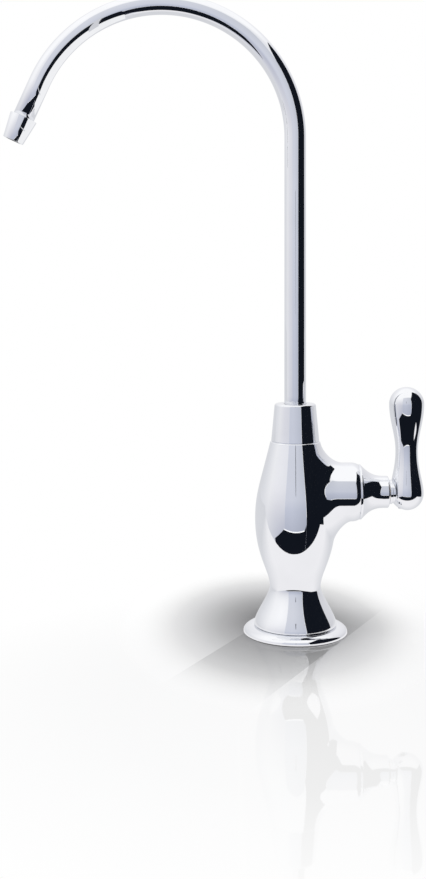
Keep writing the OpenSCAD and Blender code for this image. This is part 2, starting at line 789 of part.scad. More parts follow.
module bonnet() {
    lip = [bonnet_d / 2 - bonnet_edge, bonnet_lip];
    waist = [bonnet_end_d / 2, bonnet_len - bonnet_land];
    flare = bonnet_flare * [-cos(bonnet_lean), sin(bonnet_lean)];
    outline = concat(
        [[0, 0], [bonnet_d / 2, 0], [bonnet_d / 2, bonnet_lip - bonnet_edge], lip],
        curve(lip, lip + flare, waist - [0, bonnet_handle], waist, 12),
        [[bonnet_end_d / 2, bonnet_len - bonnet_chamfer], [bonnet_end_d / 2 - bonnet_chamfer, bonnet_len],
            [0, bonnet_len]]
    );
    color(CHROME) on_valve(boss_end) difference() {
        rotate_extrude() polygon(outline);
        translate([0, 0, -cut])
            cylinder(r = cartridge_af / 2 / cos(30) + seat_gap, h = cartridge_hex_h + bonnet_play + cut);
        translate([0, 0, -cut]) cylinder(r = bonnet_bore_r, h = bonnet_len - bonnet_wall + cut);
        translate([0, 0, -cut]) cylinder(r = stem_r + seat_gap, h = bonnet_len + 2 * cut);
    }
}

lever_x = 48.8;
hub_face_x = bonnet_end_x + seat_gap;
hub_ring_step = 0.35;
hub_neck_r = hub_ring_d / 2 - hub_ring_step;
hub_bore_x = stem_end_x + seat_gap;

lever_screw_offset = 1.8;
lever_screw_x = lever_x - lever_screw_offset;
lever_screw_recess = 0.8;

// Half outline of the lever as [radius, height above the valve axis]
hub_bulb_pt = [hub_bulb_d / 2, -hub_bulb_drop];
lever_neck_pt = [lever_neck_d / 2, lever_neck_rise];
grip_bulb_pt = [grip_bulb_d / 2, grip_bulb_rise];
hub_bulb_handle = 4.7;
neck_handle_low = 8;
neck_handle_high = 7.4;
grip_bulb_handle = 7.8;
lever_steps = 10;
lever_outline = concat(
    round_pts([0, -hub_bulb_drop], hub_bulb_d / 2, lever_drop - hub_bulb_drop, -90, 0, lever_steps),
    curve(hub_bulb_pt, hub_bulb_pt + [0, hub_bulb_handle],
        lever_neck_pt - [0, neck_handle_low], lever_neck_pt, lever_steps),
    curve(lever_neck_pt, lever_neck_pt + [0, neck_handle_high],
        grip_bulb_pt - [0, grip_bulb_handle], grip_bulb_pt, lever_steps),
    [for (i = [1:lever_steps]) let (a = 90 * i / lever_steps)
        [grip_bulb_d / 2 * cos(a), grip_bulb_rise + (lever_rise - grip_bulb_rise) * sin(a)]]
);

module lever() {
    screw_top = valve_z - stem_r / 2;
    color(CHROME) difference() {
        union() {
            translate([lever_x, 0, valve_z]) rotate_extrude() polygon(lever_outline);
            on_valve(hub_face_x) cylinder(d = hub_ring_d, h = hub_ring_len);
            on_valve(hub_face_x) cylinder(r = hub_neck_r, h = lever_x - hub_face_x);
        }
        on_valve(hub_face_x - cut) cylinder(r = stem_r + thread_gap, h = hub_bore_x - hub_face_x + cut);
        translate([lever_screw_x, 0, valve_z - lever_drop - cut])
            cylinder(d = lever_screw_d + 2 * thread_gap, h = screw_top - valve_z + lever_drop + cut);
    }
}

module lever_screw() {
    screw_z = valve_z - lever_drop + lever_screw_recess;
    socket_af = lever_screw_d / 2;
    color(STEEL) translate([lever_screw_x, 0, screw_z]) difference() {
        cylinder(d = lever_screw_d, h = valve_z - flat_drop - screw_z);
        translate([0, 0, -cut]) hexagon(socket_af, socket_af + cut);
    }
}

body_casting();
base_plate();
deck_gasket();
threaded_shank();
deck_washer();
clamp_washer();
lock_washer();
mounting_nut();
connector_body();
connector_washer();
connector_o_ring();
connector_collet();
collar();
slip_washer();
spout_bushing();
spout_o_ring_upper();
spout_o_ring_lower();
spout_tube();
spout_tip();
seat_seal();
fixed_disc();
moving_disc();
stem_washer();
cartridge_stem();
stem_o_rings();
retaining_clip();
cartridge_housing();
cartridge_o_ring();
bonnet();
lever();
lever_screw();
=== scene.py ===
"""Chrome gooseneck drinking water faucet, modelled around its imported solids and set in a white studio."""
import json
import math
import bmesh
import bpy
import numpy as np
from bpy.props import FloatProperty, FloatVectorProperty, IntProperty, PointerProperty
from mathutils import Matrix, Vector


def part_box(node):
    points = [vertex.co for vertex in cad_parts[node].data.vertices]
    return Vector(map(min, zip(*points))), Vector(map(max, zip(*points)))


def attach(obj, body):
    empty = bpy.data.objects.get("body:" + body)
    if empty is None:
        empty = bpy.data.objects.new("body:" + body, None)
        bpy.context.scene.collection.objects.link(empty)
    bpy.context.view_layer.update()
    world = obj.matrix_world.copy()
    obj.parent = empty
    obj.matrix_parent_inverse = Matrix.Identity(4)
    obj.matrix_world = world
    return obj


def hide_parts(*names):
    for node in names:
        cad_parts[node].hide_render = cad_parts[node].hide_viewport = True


bl_info = {
    "name": "Gooseneck water faucet",
    "version": (1, 0, 0),
    "blender": (4, 5, 0),
    "location": "3D View > Sidebar > Faucet",
    "description": "Models a chrome drinking water faucet and its studio",
    "category": "Object",
}

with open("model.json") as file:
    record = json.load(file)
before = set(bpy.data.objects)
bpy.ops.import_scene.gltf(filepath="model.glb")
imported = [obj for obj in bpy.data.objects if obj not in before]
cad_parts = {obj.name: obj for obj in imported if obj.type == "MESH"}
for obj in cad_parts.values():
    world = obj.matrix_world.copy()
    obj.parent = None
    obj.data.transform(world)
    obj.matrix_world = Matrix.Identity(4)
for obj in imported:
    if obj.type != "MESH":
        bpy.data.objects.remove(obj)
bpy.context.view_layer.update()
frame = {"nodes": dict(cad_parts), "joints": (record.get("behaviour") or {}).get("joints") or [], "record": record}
MM = 0.001


def span(node, axis):
    """A node's lowest and highest value along one axis, in metres."""
    low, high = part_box(node)
    return low[axis], high[axis]


def hex_to_linear(code):
    """An sRGB hex colour as linear red, green and blue."""
    parts = [int(code[i:i + 2], 16) / 255 for i in (1, 3, 5)]
    return [c / 12.92 if c <= 0.04045 else ((c + 0.055) / 1.055) ** 2.4 for c in parts]


def joint_place(name):
    """Where a joint's axis stands, in metres."""
    return next(Vector(j["pos_m"]) for j in frame["joints"] if j["name"] == name)


VALVE_Z = joint_place("handle_turn").z
BODY_TOP = joint_place("spout_swivel").z


def length(name, description, default):
    """A size of the panel, in metres."""
    return FloatProperty(name=name, description=description, default=default, unit="LENGTH", precision=5)


def colour(name, description, code):
    """A colour of the panel, from its sRGB hex code."""
    return FloatVectorProperty(
        name=name, description=description, default=hex_to_linear(code), subtype="COLOR", size=3, min=0, max=1)


class FaucetSizes(bpy.types.PropertyGroup):
    """Sizes of the shown pieces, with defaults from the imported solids."""

    foot_r: length("Foot radius", "Radius of the flared foot", span("body_casting", 1)[1])
    waist_r: length("Waist radius", "Radius of the waist above the foot", 11.1 * MM)
    waist_z: length("Waist height", "Height of the waist", 20.3 * MM)
    belly_r: length("Belly radius", "Largest radius of the vase", 17.55 * MM)
    belly_z: length("Belly height", "Height of the largest radius", 49.7 * MM)
    shoulder_r: length("Shoulder radius", "Radius of the vase at its top rim", 11 * MM)
    foot_z: length("Foot height", "Height of the foot's underside", span("base_plate", 2)[1])
    boss_r: length("Boss radius", "Radius of the valve boss", 12.7 * MM)
    boss_end: length("Boss end", "Distance of the boss's end face from the axis", span("bonnet", 0)[0])
    boss_edge_len: length("Boss rounding", "Length over which the boss's end is rounded", 3 * MM)
    boss_edge: length("Boss end drop", "Drop of the boss's radius over its rounded end", 0.8 * MM)
    plate_r: length("Plate radius", "Radius of the base plate", span("base_plate", 0)[1])
    collar_top_r: length("Collar top radius", "Radius of the collar at its top", 9.05 * MM)
    tube_r: length("Tube radius", "Radius of the spout tube", span("spout_tube", 1)[1])
    bend_r: length("Bend radius", "Radius of the gooseneck's centre line", 58.6 * MM)
    bend_angle: FloatProperty(
        name="Bend angle", description="Angle that the gooseneck turns through",
        default=math.radians(155.5), subtype="ANGLE")
    tail: length("Tail length", "Straight length from the bend to the outlet", 28.1 * MM)
    tip_len: length("Tip length", "Length of the tapered tip", 11.3 * MM)
    lever_x: length("Lever place", "Distance of the lever's centre line from the body's axis", 48.8 * MM)
    thread_pitch: length("Thread pitch", "Pitch of the shank's thread, 24 to the inch", 25.4 / 24 * MM)
    voxel: length("Body mesh size", "Size of the faces on the cast body", 0.45 * MM)
    turns: IntProperty(name="Steps round", description="Faces round a turned piece", default=128, min=48, max=256)


class FaucetColours(bpy.types.PropertyGroup):
    """Colours of the finishes."""

    chrome: colour("Chrome", "Chrome plate", "#f1f2f5")
    brass: colour("Brass", "Turned brass", "#d8b56a")
    steel: colour("Steel", "Zinc-plated steel", "#c9ccd1")
    rubber: colour("Rubber", "Black rubber", "#17181a")
    white_plastic: colour("White plastic", "Moulded white plastic", "#eeede7")
    grey_plastic: colour("Grey plastic", "Moulded grey plastic", "#8d9095")
    ceramic: colour("Ceramic", "Lapped alumina", "#f3efe4")
    floor: colour("Floor", "Studio floor", "#fbfbfb")
    night: colour("Black card", "Black cards that the chrome mirrors", "#13171f")


# Materials


def add(nt, kind, inputs=None, **settings):
    """Adds one node, sets its properties or sockets by name, and sets or links its inputs."""
    node = nt.nodes.new(kind)
    for key, value in settings.items():
        if hasattr(node, key):
            setattr(node, key, value)
        else:
            node.inputs[key.replace("_", " ")].default_value = value
    for key, value in (inputs or {}).items():
        if isinstance(value, bpy.types.NodeSocket):
            nt.links.new(value, node.inputs[key])
        else:
            node.inputs[key].default_value = value
    return node


def new_material(name):
    """A material without nodes, and its node tree."""
    mat = bpy.data.materials.new(name)
    mat.use_nodes = True
    mat.node_tree.nodes.clear()
    return mat, mat.node_tree


def finish_surface(nt, shader):
    """Makes a shader the material's surface."""
    add(nt, "ShaderNodeOutputMaterial", {"Surface": shader.outputs[0]})


def math_node(nt, operation, *values):
    """The result of one sum on sockets or numbers."""
    return add(nt, "ShaderNodeMath", dict(enumerate(values)), operation=operation).outputs[0]


def vector_value(nt, operation, *vectors):
    """The single number that a vector operation gives."""
    return add(nt, "ShaderNodeVectorMath", dict(enumerate(vectors)), operation=operation).outputs["Value"]


def mapped(nt, source, from_min, from_max, to_min=0.0, to_max=1.0):
    """A value moved from one range to another and kept inside it."""
    return add(nt, "ShaderNodeMapRange", {"Value": source, "From Min": from_min, "From Max": from_max,
                                          "To Min": to_min, "To Max": to_max}).outputs["Result"]


def colour_ramp(nt, source, stops):
    """A run of linear colours over a value from 0 to 1."""
    ramp = add(nt, "ShaderNodeValToRGB", {"Fac": source})
    elements = ramp.color_ramp.elements
    while len(elements) < len(stops):
        elements.new(0.5)
    for element, (place, tone) in zip(elements, stops):
        element.position = place
        element.color = (*tone, 1)
    return ramp.outputs["Color"]


def grey_ramp(nt, source, stops):
    """A run of greys and pale tints, given as hex codes."""
    return colour_ramp(nt, source, [(place, hex_to_linear(code)) for place, code in stops])


def mixed(nt, factor, first, second):
    """A mix of two shaders: the first at 0 and the second at 1."""
    return add(nt, "ShaderNodeMixShader", {"Fac": factor, 1: first.outputs[0], 2: second.outputs[0]})


NOISE_LOW, NOISE_HIGH = 0.3, 0.7


def object_noise(nt, grain_mm, detail=2.0, stretch=(1, 1, 1)):
    """Noise on object coordinates whose spots are about grain_mm across."""
    place = add(nt, "ShaderNodeTexCoord")
    mapping = add(nt, "ShaderNodeMapping", {"Vector": place.outputs["Object"], "Scale": stretch})
    return add(nt, "ShaderNodeTexNoise", {"Vector": mapping.outputs["Vector"], "Scale": 1 / (grain_mm * MM)},
               Detail=detail)


def spread(nt, source, low, high):
    """Maps a noise's middle range to low..high."""
    return mapped(nt, source, NOISE_LOW, NOISE_HIGH, low, high)


def tinted(nt, source, light, dark):
    """A colour that drifts between two near shades."""
    return colour_ramp(nt, source, ((NOISE_LOW, dark), (NOISE_HIGH, light)))


def shade(c, factor):
    """A colour made lighter or darker."""
    return [min(1, v * factor) for v in c]


def metal(name, base, rough, grain_mm, dark=0.96, bump_mm=0.0, bump_grain_mm=6.0, stretch=(1, 1, 1)):
    """Metal whose tone and roughness drift slightly over the surface, with a shallow waviness."""
    mat, nt = new_material(name)
    tone = object_noise(nt, grain_mm)
    wear = object_noise(nt, grain_mm * 0.35, detail=4, stretch=stretch)
    shader = add(nt, "ShaderNodeBsdfPrincipled", {
        "Base Color": tinted(nt, tone.outputs["Fac"], base, shade(base, dark)),
        "Roughness": spread(nt, wear.outputs["Fac"], rough[0], rough[1]),
    }, Metallic=1.0)
    if bump_mm:
        wave = object_noise(nt, bump_grain_mm, stretch=stretch)
        bump = add(nt, "ShaderNodeBump", {"Height": wave.outputs["Fac"]}, Strength=1.0, Distance=bump_mm * MM)
        nt.links.new(bump.outputs["Normal"], shader.inputs["Normal"])
    finish_surface(nt, shader)
    return mat


def moulded(name, base, rough, grain_mm, ior=1.5, bump_mm=0.02):
    """Moulded or pressed material with a fine surface grain."""
    mat, nt = new_material(name)
    tone = object_noise(nt, grain_mm * 5)
    grain = object_noise(nt, grain_mm, detail=4)
    bump = add(nt, "ShaderNodeBump", {"Height": grain.outputs["Fac"]}, Strength=0.6, Distance=bump_mm * MM)
    shader = add(nt, "ShaderNodeBsdfPrincipled", {
        "Base Color": tinted(nt, tone.outputs["Fac"], base, shade(base, 0.9)),
        "Roughness": spread(nt, grain.outputs["Fac"], rough[0], rough[1]),
        "Normal": bump.outputs["Normal"],
    }, IOR=ior)
    finish_surface(nt, shader)
    return mat


def make_finishes():
    """One material for each material slot of the record."""
    c = bpy.context.scene.faucet_colours
    chrome, brass, steel, rubber = list(c.chrome), list(c.brass), list(c.steel), list(c.rubber)
    white, grey, alumina = list(c.white_plastic), list(c.grey_plastic), list(c.ceramic)
    return {
        # Chrome plate on a polished casting: a mirror with the very faint waviness left by hand polishing
        "body_chrome": metal("chrome_on_cast_brass", chrome, (0.02, 0.035), 18, bump_mm=0.0015, bump_grain_mm=9),
        # Chrome plate on pressed sheet: a mirror whose gloss drifts a little from place to place
        "plate_chrome": metal("chrome_on_pressed_sheet", chrome, (0.02, 0.045), 14, bump_mm=0.001, bump_grain_mm=7),
        # Chrome plate on a turned collar: a mirror, with polish marks that run round its upright axis
        "collar_chrome": metal("chrome_on_turned_collar", chrome, (0.02, 0.04), 12, stretch=(1, 1, 6)),
        # Chrome plate on a turned bonnet: a mirror, with polish marks that run round its level axis
        "bonnet_chrome": metal("chrome_on_turned_bonnet", chrome, (0.02, 0.04), 12, stretch=(6, 1, 1)),
        # Chrome plate on a die-cast lever: a mirror, handled most and so with the most variation
        "lever_chrome": metal("chrome_on_cast_lever", chrome, (0.02, 0.05), 10, bump_mm=0.0012, bump_grain_mm=6),
        # Chrome plate on drawn tube: a mirror, polished along its length
        "spout_chrome": metal("chrome_on_drawn_tube", chrome, (0.018, 0.03), 16, stretch=(1, 1, 0.3)),
        # Machined brass: warm and half bright, with tool marks
        "plain_brass": metal("turned_brass", brass, (0.2, 0.34), 5, dark=0.85, bump_mm=0.01, bump_grain_mm=0.5),
        # Zinc plate: cool, half matt and a little cloudy
        "zinc_steel": metal("zinc_plated_steel", steel, (0.28, 0.42), 3, dark=0.85, bump_mm=0.008,
                            bump_grain_mm=0.8),
        # Stainless steel: cool and brighter than zinc, with a fine grain
        "spring_steel": metal("stainless_steel", steel, (0.18, 0.28), 3, dark=0.8, bump_mm=0.004,
                              bump_grain_mm=0.6),
        # Pressed rubber: matt, nearly black, with a dusty bloom
        "black_rubber": moulded("pressed_black_rubber", rubber, (0.6, 0.8), 0.6, ior=1.52, bump_mm=0.04),
        # Nitrile of the seals: black, smoother and with a slight sheen
        "seal_rubber": moulded("nitrile_seal_rubber", rubber, (0.35, 0.5), 0.4, ior=1.52, bump_mm=0.01),
        # White acetal: satin and slightly waxy
        "white_acetal": moulded("moulded_white_acetal", white, (0.35, 0.5), 0.7, ior=1.48),
        # Grey acetal: the same satin surface in a mid grey
        "grey_acetal": moulded("moulded_grey_acetal", grey, (0.35, 0.5), 0.7, ior=1.48),
        # Natural nylon: off-white and a little duller than acetal
        "nylon": moulded("natural_nylon", white, (0.4, 0.55), 0.5, ior=1.53),
        # Lapped alumina: smooth, ivory and half bright
        "ceramic": moulded("lapped_alumina", alumina, (0.12, 0.2), 0.3, ior=1.76, bump_mm=0.002),
    }


# Mesh making


def bezier(a, b, c, d, n):
    """Points of a cubic curve, without its first."""
    a, b, c, d = (Vector(p) for p in (a, b, c, d))
    run = [i / n for i in range(1, n + 1)]
    return [(1 - t) ** 3 * a + 3 * (1 - t) ** 2 * t * b + 3 * (1 - t) * t * t * c + t ** 3 * d for t in run]


def arc(centre, rx, ry, start, end, n):
    """Points of an oval arc between two angles in degrees."""
    angles = [math.radians(start + (end - start) * i / n) for i in range(n + 1)]
    return [Vector((centre[0] + rx * math.cos(a), centre[1] + ry * math.sin(a))) for a in angles]


def turned(profile, steps, closed=False):
    """A mesh spun about Z from an outline of (radius, height) points."""
    bm = bmesh.new()
    verts = [bm.verts.new((max(p[0], 0), 0, p[1])) for p in profile]
    pairs = list(zip(verts, verts[1:])) + ([(verts[-1], verts[0])] if closed else [])
    edges = [bm.edges.new(pair) for pair in pairs]
    bmesh.ops.spin(bm, geom=verts + edges, cent=(0, 0, 0), axis=(0, 0, 1), angle=2 * math.pi,
                   steps=steps, use_merge=True, use_duplicate=False)
    bmesh.ops.remove_doubles(bm, verts=bm.verts, dist=1e-6)
    return bm


ALONG_X = Matrix.Rotation(math.pi / 2, 4, "Y")


def linked_object(name, bm):
    """Turns a bmesh into a mesh object of the scene."""
    mesh = bpy.data.meshes.new(name)
    bm.to_mesh(mesh)
    bm.free()
    obj = bpy.data.objects.new(name, mesh)
    bpy.context.scene.collection.objects.link(obj)
    return obj


def applied_mesh(obj):
    """A new mesh of an object with its modifiers applied."""
    bpy.context.view_layer.update()
    return bpy.data.meshes.new_from_object(obj.evaluated_get(bpy.context.evaluated_depsgraph_get()))


def soften(mesh, sharp):
    """Shades a mesh smooth, apart from edges that turn by more than an angle in degrees."""
    mesh.shade_smooth()
    mesh.set_sharp_from_angle(angle=math.radians(sharp))


def finish_piece(bm, name, body, slot, finishes, nodes, sharp=32):
    """Turns a bmesh into a piece that stands for CAD nodes and rides on a body."""
    bmesh.ops.recalc_face_normals(bm, faces=bm.faces)
    piece = linked_object(name, bm)
    soften(piece.data, sharp)
    piece.data.materials.append(finishes[slot])
    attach(piece, body)
    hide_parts(*nodes)
    return piece


def combine(piece, name, other_bm, operation):
    """Joins a shape to a piece or cuts it away, with one boolean."""
    bmesh.ops.recalc_face_normals(other_bm, faces=other_bm.faces)
    other = linked_object(name, other_bm)
    mod = piece.modifiers.new("combine", "BOOLEAN")
    mod.operation = operation
    mod.solver = "EXACT"
    mod.object = other
    done = applied_mesh(piece)
    piece.modifiers.clear()
    piece.data = done
    bpy.data.objects.remove(other)


def extrude_loop(bm, edges, centre, axis, radius, along):
    """Extrudes a round edge loop and sets its new points to a radius and a place along its axis."""
    out = bmesh.ops.extrude_edge_only(bm, edges=edges)
    verts = [g for g in out["geom"] if isinstance(g, bmesh.types.BMVert)]
    axis = Vector(axis)
    for v in verts:
        offset = v.co - centre
        flat = offset - offset.dot(axis) * axis
        v.co = centre + flat.normalized() * radius + axis * along
    return [g for g in out["geom"] if isinstance(g, bmesh.types.BMEdge)]


def close_loop(bm, edges, centre):
    """Extrudes a loop to one point, which closes it."""
    out = bmesh.ops.extrude_edge_only(bm, edges=edges)
    verts = [g for g in out["geom"] if isinstance(g, bmesh.types.BMVert)]
    bmesh.ops.pointmerge(bm, verts=verts, merge_co=centre)


# Cast body


FOOT_EDGE = 0.7 * MM
RIM_EDGE = 0.6 * MM


def vase_points(s, n):
    """Half outline of the vase from the foot to the top rim, as (radius, height)."""
    foot_handle, waist_handle_low, waist_handle_high = 4.6 * MM, 4.2 * MM, 6.3 * MM
    belly_handle_low, belly_handle_high, rim_handle = 16.4 * MM, 11 * MM, 17.4 * MM
    foot = Vector((s.foot_r, s.foot_z + FOOT_EDGE))
    waist = Vector((s.waist_r, s.waist_z))
    belly = Vector((s.belly_r, s.belly_z))
    rim = Vector((s.shoulder_r, BODY_TOP - RIM_EDGE))
    foot_lean, rim_lean = math.radians(8.3), math.radians(13.6)
    low = foot + foot_handle * Vector((-math.sin(foot_lean), math.cos(foot_lean)))
    top = rim + rim_handle * Vector((math.sin(rim_lean), -math.cos(rim_lean)))
    return ([foot] + bezier(foot, low, waist - Vector((0, waist_handle_low)), waist, n)
            + bezier(waist, waist + Vector((0, waist_handle_high)), belly - Vector((0, belly_handle_low)), belly, n)
            + bezier(belly, belly + Vector((0, belly_handle_high)), top, rim, n))


class BodySurface:
    """The cast body's outer surface: the vase, the valve boss, and the fillet that joins them."""

    def __init__(self, s):
        table = np.array(vase_points(s, 400))
        slope_low = (table[1] - table[0]) / (table[1][1] - table[0][1])
        slope_top = (table[-1] - table[-2]) / (table[-1][1] - table[-2][1])
        reach = 4 * MM
        table = np.vstack([table[0] - reach * slope_low, table, table[-1] + reach * slope_top])
        self.z, self.r = table[:, 1], table[:, 0]
        self.boss_r = s.boss_r
        self.rim_z = BODY_TOP - RIM_EDGE

    def radius(self, z):
        """The vase's radius at a height."""
        return np.interp(z, self.z, self.r)

    def section_x(self, phi, rho):
        """X of the vase's surface at the distance rho from the valve axis, at the angle phi from the top."""
        r = self.radius(VALVE_Z + rho * np.cos(phi))
        return np.sqrt(np.maximum(0, r ** 2 - (rho * np.sin(phi)) ** 2))

    @staticmethod
    def around(phi, top, side, low):
        """A size that changes round the boss, from its values at the top, at the sides and below."""
        c = np.cos(phi)
        return np.where(c > 0, side + (top - side) * c ** 4, side + (low - side) * c ** 2)

    def fillet(self, phi, n=160):
        """Fillet lines as arrays of x and rho, from the boss to the vase, one row for each phi."""
        x0 = self.around(phi, 21 * MM, 17.5 * MM, 24.5 * MM)
        rho1 = self.around(phi, self.rim_z - VALVE_Z, 15 * MM, 21.5 * MM)
        x1 = self.section_x(phi, rho1)
        step = 0.2 * MM
        tx, tr = x1 - self.section_x(phi, rho1 - step), np.full_like(x1, step)
        size = np.hypot(tx, tr)
        tx, tr = tx / size, tr / size
        gap = np.hypot(x1 - x0, rho1 - self.boss_r)
        reach = 0.33 * gap
        boss_reach = self.around(phi, 0.33, 0.33, 0.2) * gap
        t = np.linspace(0, 1, n)[None, :]
        weights = ((1 - t) ** 3, 3 * (1 - t) ** 2 * t, 3 * (1 - t) * t ** 2, t ** 3)
        xs = (x0, x0 - boss_reach, x1 - reach * tx, x1)
        rs = (np.full_like(x0, self.boss_r), np.full_like(x0, self.boss_r), rho1 - reach * tr, rho1)
        x = sum(w * v[:, None] for w, v in zip(weights, xs))
        rho = sum(w * v[:, None] for w, v in zip(weights, rs))
        return x, rho

    def settle(self, points):
        """Moves points that lie near the surface on to it."""
        p = points.copy()
        y, z = p[:, 1], p[:, 2] - VALVE_Z
        phi = np.arctan2(np.abs(y), z)
        rho = np.hypot(y, z)
        x, line_rho = self.fillet(phi)
        on_boss = p[:, 0] >= x[:, 0]
        end_x, end_rho = x[:, -1], line_rho[:, -1]
        on_vase = ~on_boss & ((rho > end_rho) | (p[:, 0] < 0) | (p[:, 0] < end_x - 3 * MM))
        blend = ~on_boss & ~on_vase
        # on the boss
        scale = self.boss_r / np.maximum(rho, 1e-9)
        p[on_boss, 1] *= scale[on_boss]
        p[on_boss, 2] = VALVE_Z + z[on_boss] * scale[on_boss]
        # on the vase
        r = np.hypot(p[:, 0], p[:, 1])
        scale = self.radius(p[:, 2]) / np.maximum(r, 1e-9)
        p[on_vase, 0] *= scale[on_vase]
        p[on_vase, 1] *= scale[on_vase]
        # on the fillet, at the nearest place of its line
        i = np.where(blend)[0]
        qx, qr = p[i, 0], rho[i]
        lx, lr = x[i], line_rho[i]
        a = np.stack([lx[:, :-1], lr[:, :-1]], 2)
        d = np.stack([np.diff(lx, axis=1), np.diff(lr, axis=1)], 2)
        q = np.stack([qx, qr], 1)[:, None, :]
        t = np.clip(((q - a) * d).sum(2) / (d ** 2).sum(2), 0, 1)
        near = a + t[:, :, None] * d
        k = ((near - q) ** 2).sum(2).argmin(1)
        best = near[np.arange(len(i)), k]
        scale = best[:, 1] / np.maximum(qr, 1e-9)
        p[i, 0] = best[:, 0]
        p[i, 1] *= scale
        p[i, 2] = VALVE_Z + z[i] * scale
        return p


def rough_body(s):
    """A plain union of vase, boss and a cone between them, as one voxel mesh."""
    extra = 1.5 * MM
    cone_r, cone_start, cone_end = 19 * MM, 8.5 * MM, 21 * MM
    outline = vase_points(s, 40)
    first = outline[0] + (outline[0] - outline[1]).normalized() * extra
    last = outline[-1] + (outline[-1] - outline[-2]).normalized() * extra
    bm = turned([(0, first[1]), first] + outline + [last, (0, last[1])], 96)
    for r0, r1, x0, x1 in ((s.boss_r, s.boss_r, 0, s.boss_end + extra), (cone_r, s.boss_r, cone_start, cone_end)):
        cone = bmesh.ops.create_cone(bm, cap_ends=True, segments=96, radius1=r0, radius2=r1, depth=x1 - x0)
        place = Matrix.Translation(((x0 + x1) / 2, 0, VALVE_Z)) @ ALONG_X
        bmesh.ops.transform(bm, matrix=place, verts=cone["verts"])
    bmesh.ops.recalc_face_normals(bm, faces=bm.faces)
    obj = linked_object("rough_body", bm)
    mod = obj.modifiers.new("voxels", "REMESH")
    mod.mode = "VOXEL"
    mod.voxel_size = s.voxel
    mod.adaptivity = 0
    done = applied_mesh(obj)
    bpy.data.objects.remove(obj)
    out = bmesh.new()
    out.from_mesh(done)
    bpy.data.meshes.remove(done)
    return out


def settle_on_surface(bm, surface):
    """Moves a mesh's points on to the cast body's surface."""
    points = np.array([v.co for v in bm.verts])
    for v, p in zip(bm.verts, surface.settle(points)):
        v.co = p


def trim(bm, point, normal):
    """Cuts away what lies beyond a plane and returns the edges of the cut."""
    out = bmesh.ops.bisect_plane(bm, geom=bm.verts[:] + bm.edges[:] + bm.faces[:], dist=1e-7,
                                 plane_co=point, plane_no=normal, clear_outer=True)
    return [g for g in out["geom_cut"] if isinstance(g, bmesh.types.BMEdge)]


def cast_body(s, finishes):
    """The vase with its foot, threaded neck, valve boss and bores."""
    surface = BodySurface(s)
    bm = rough_body(s)
    for _ in range(6):
        settle_on_surface(bm, surface)
        bmesh.ops.smooth_vert(bm, verts=bm.verts, factor=0.5, use_axis_x=True, use_axis_y=True, use_axis_z=True)
    settle_on_surface(bm, surface)
    up, out_x = Vector((0, 0, 1)), Vector((1, 0, 0))

    # foot: rounded edge, underside, hollow, and the bore for the shank
    axis_at = Vector((0, 0, 0))
    loop = trim(bm, (0, 0, s.foot_z + FOOT_EDGE), (0, 0, -1))
    for r, z in arc((s.foot_r - FOOT_EDGE, s.foot_z + FOOT_EDGE), FOOT_EDGE, FOOT_EDGE, -10, -90, 5):
        loop = extrude_loop(bm, loop, axis_at, up, r, z)
    low, hollow, bore_top, inlet_top = s.foot_z, s.foot_z + 4 * MM, s.foot_z + 12 * MM, VALVE_Z + 3 * MM
    hollow_r, hub_r, bore_r, inlet_r = s.foot_r - 2.8 * MM, 8.35 * MM, 5.6 * MM, 3 * MM
    for r, z in ((hollow_r, low), (hollow_r, hollow), (hub_r, hollow), (hub_r, low), (bore_r, low),
                 (bore_r, bore_top), (inlet_r, bore_top), (inlet_r, inlet_top)):
        loop = extrude_loop(bm, loop, axis_at, up, r, z)
    close_loop(bm, loop, Vector((0, 0, inlet_top)))

    # top: rounded rim, shoulder, threaded neck, and the spout's socket
    loop = trim(bm, (0, 0, BODY_TOP - RIM_EDGE), (0, 0, 1))
    for r, z in arc((s.shoulder_r - RIM_EDGE, BODY_TOP - RIM_EDGE), RIM_EDGE, RIM_EDGE, 10, 90, 5):
        loop = extrude_loop(bm, loop, axis_at, up, r, z)
    neck_r, socket_r, bevel = 8.2 * MM, 6.3 * MM, 0.4 * MM
    neck_top, socket_floor = span("body_casting", 2)[1], BODY_TOP - 3.4 * MM
    for r, z in ((neck_r, BODY_TOP), (neck_r, neck_top - bevel), (neck_r - bevel, neck_top), (socket_r, neck_top),
                 (socket_r, socket_floor)):
        loop = extrude_loop(bm, loop, axis_at, up, r, z)
    close_loop(bm, loop, Vector((0, 0, socket_floor)))

    # boss: rounded end, end face, and the valve chamber
    axis_at = Vector((0, 0, VALVE_Z))
    loop = trim(bm, (s.boss_end - s.boss_edge_len, 0, 0), (1, 0, 0))
    round_r = (s.boss_edge_len ** 2 + s.boss_edge ** 2) / (2 * s.boss_edge)
    turn = math.degrees(math.asin(s.boss_edge_len / round_r))
    soft = 0.12 * MM
    line = arc((s.boss_r - round_r, s.boss_end - s.boss_edge_len), round_r, round_r, 0, turn, 12)[1:]
    line[-1] -= Vector((soft / 2, soft))
    end_r = s.boss_r - s.boss_edge
    chamber_r, chamber_x, port_r, port_x = 8.2 * MM, 6 * MM, 2.6 * MM, 2.9 * MM
    for r, x in [tuple(p) for p in line] + [(end_r - 1.5 * soft, s.boss_end), (chamber_r, s.boss_end),
                                            (chamber_r, chamber_x), (port_r, chamber_x), (port_r, port_x)]:
        loop = extrude_loop(bm, loop, axis_at, out_x, r, x)
    close_loop(bm, loop, Vector((port_x, 0, VALVE_Z)))
    finish_piece(bm, "vase_body", "faucet", "body_chrome", finishes, ["body_casting"], sharp=40)


# Turned and bent pieces


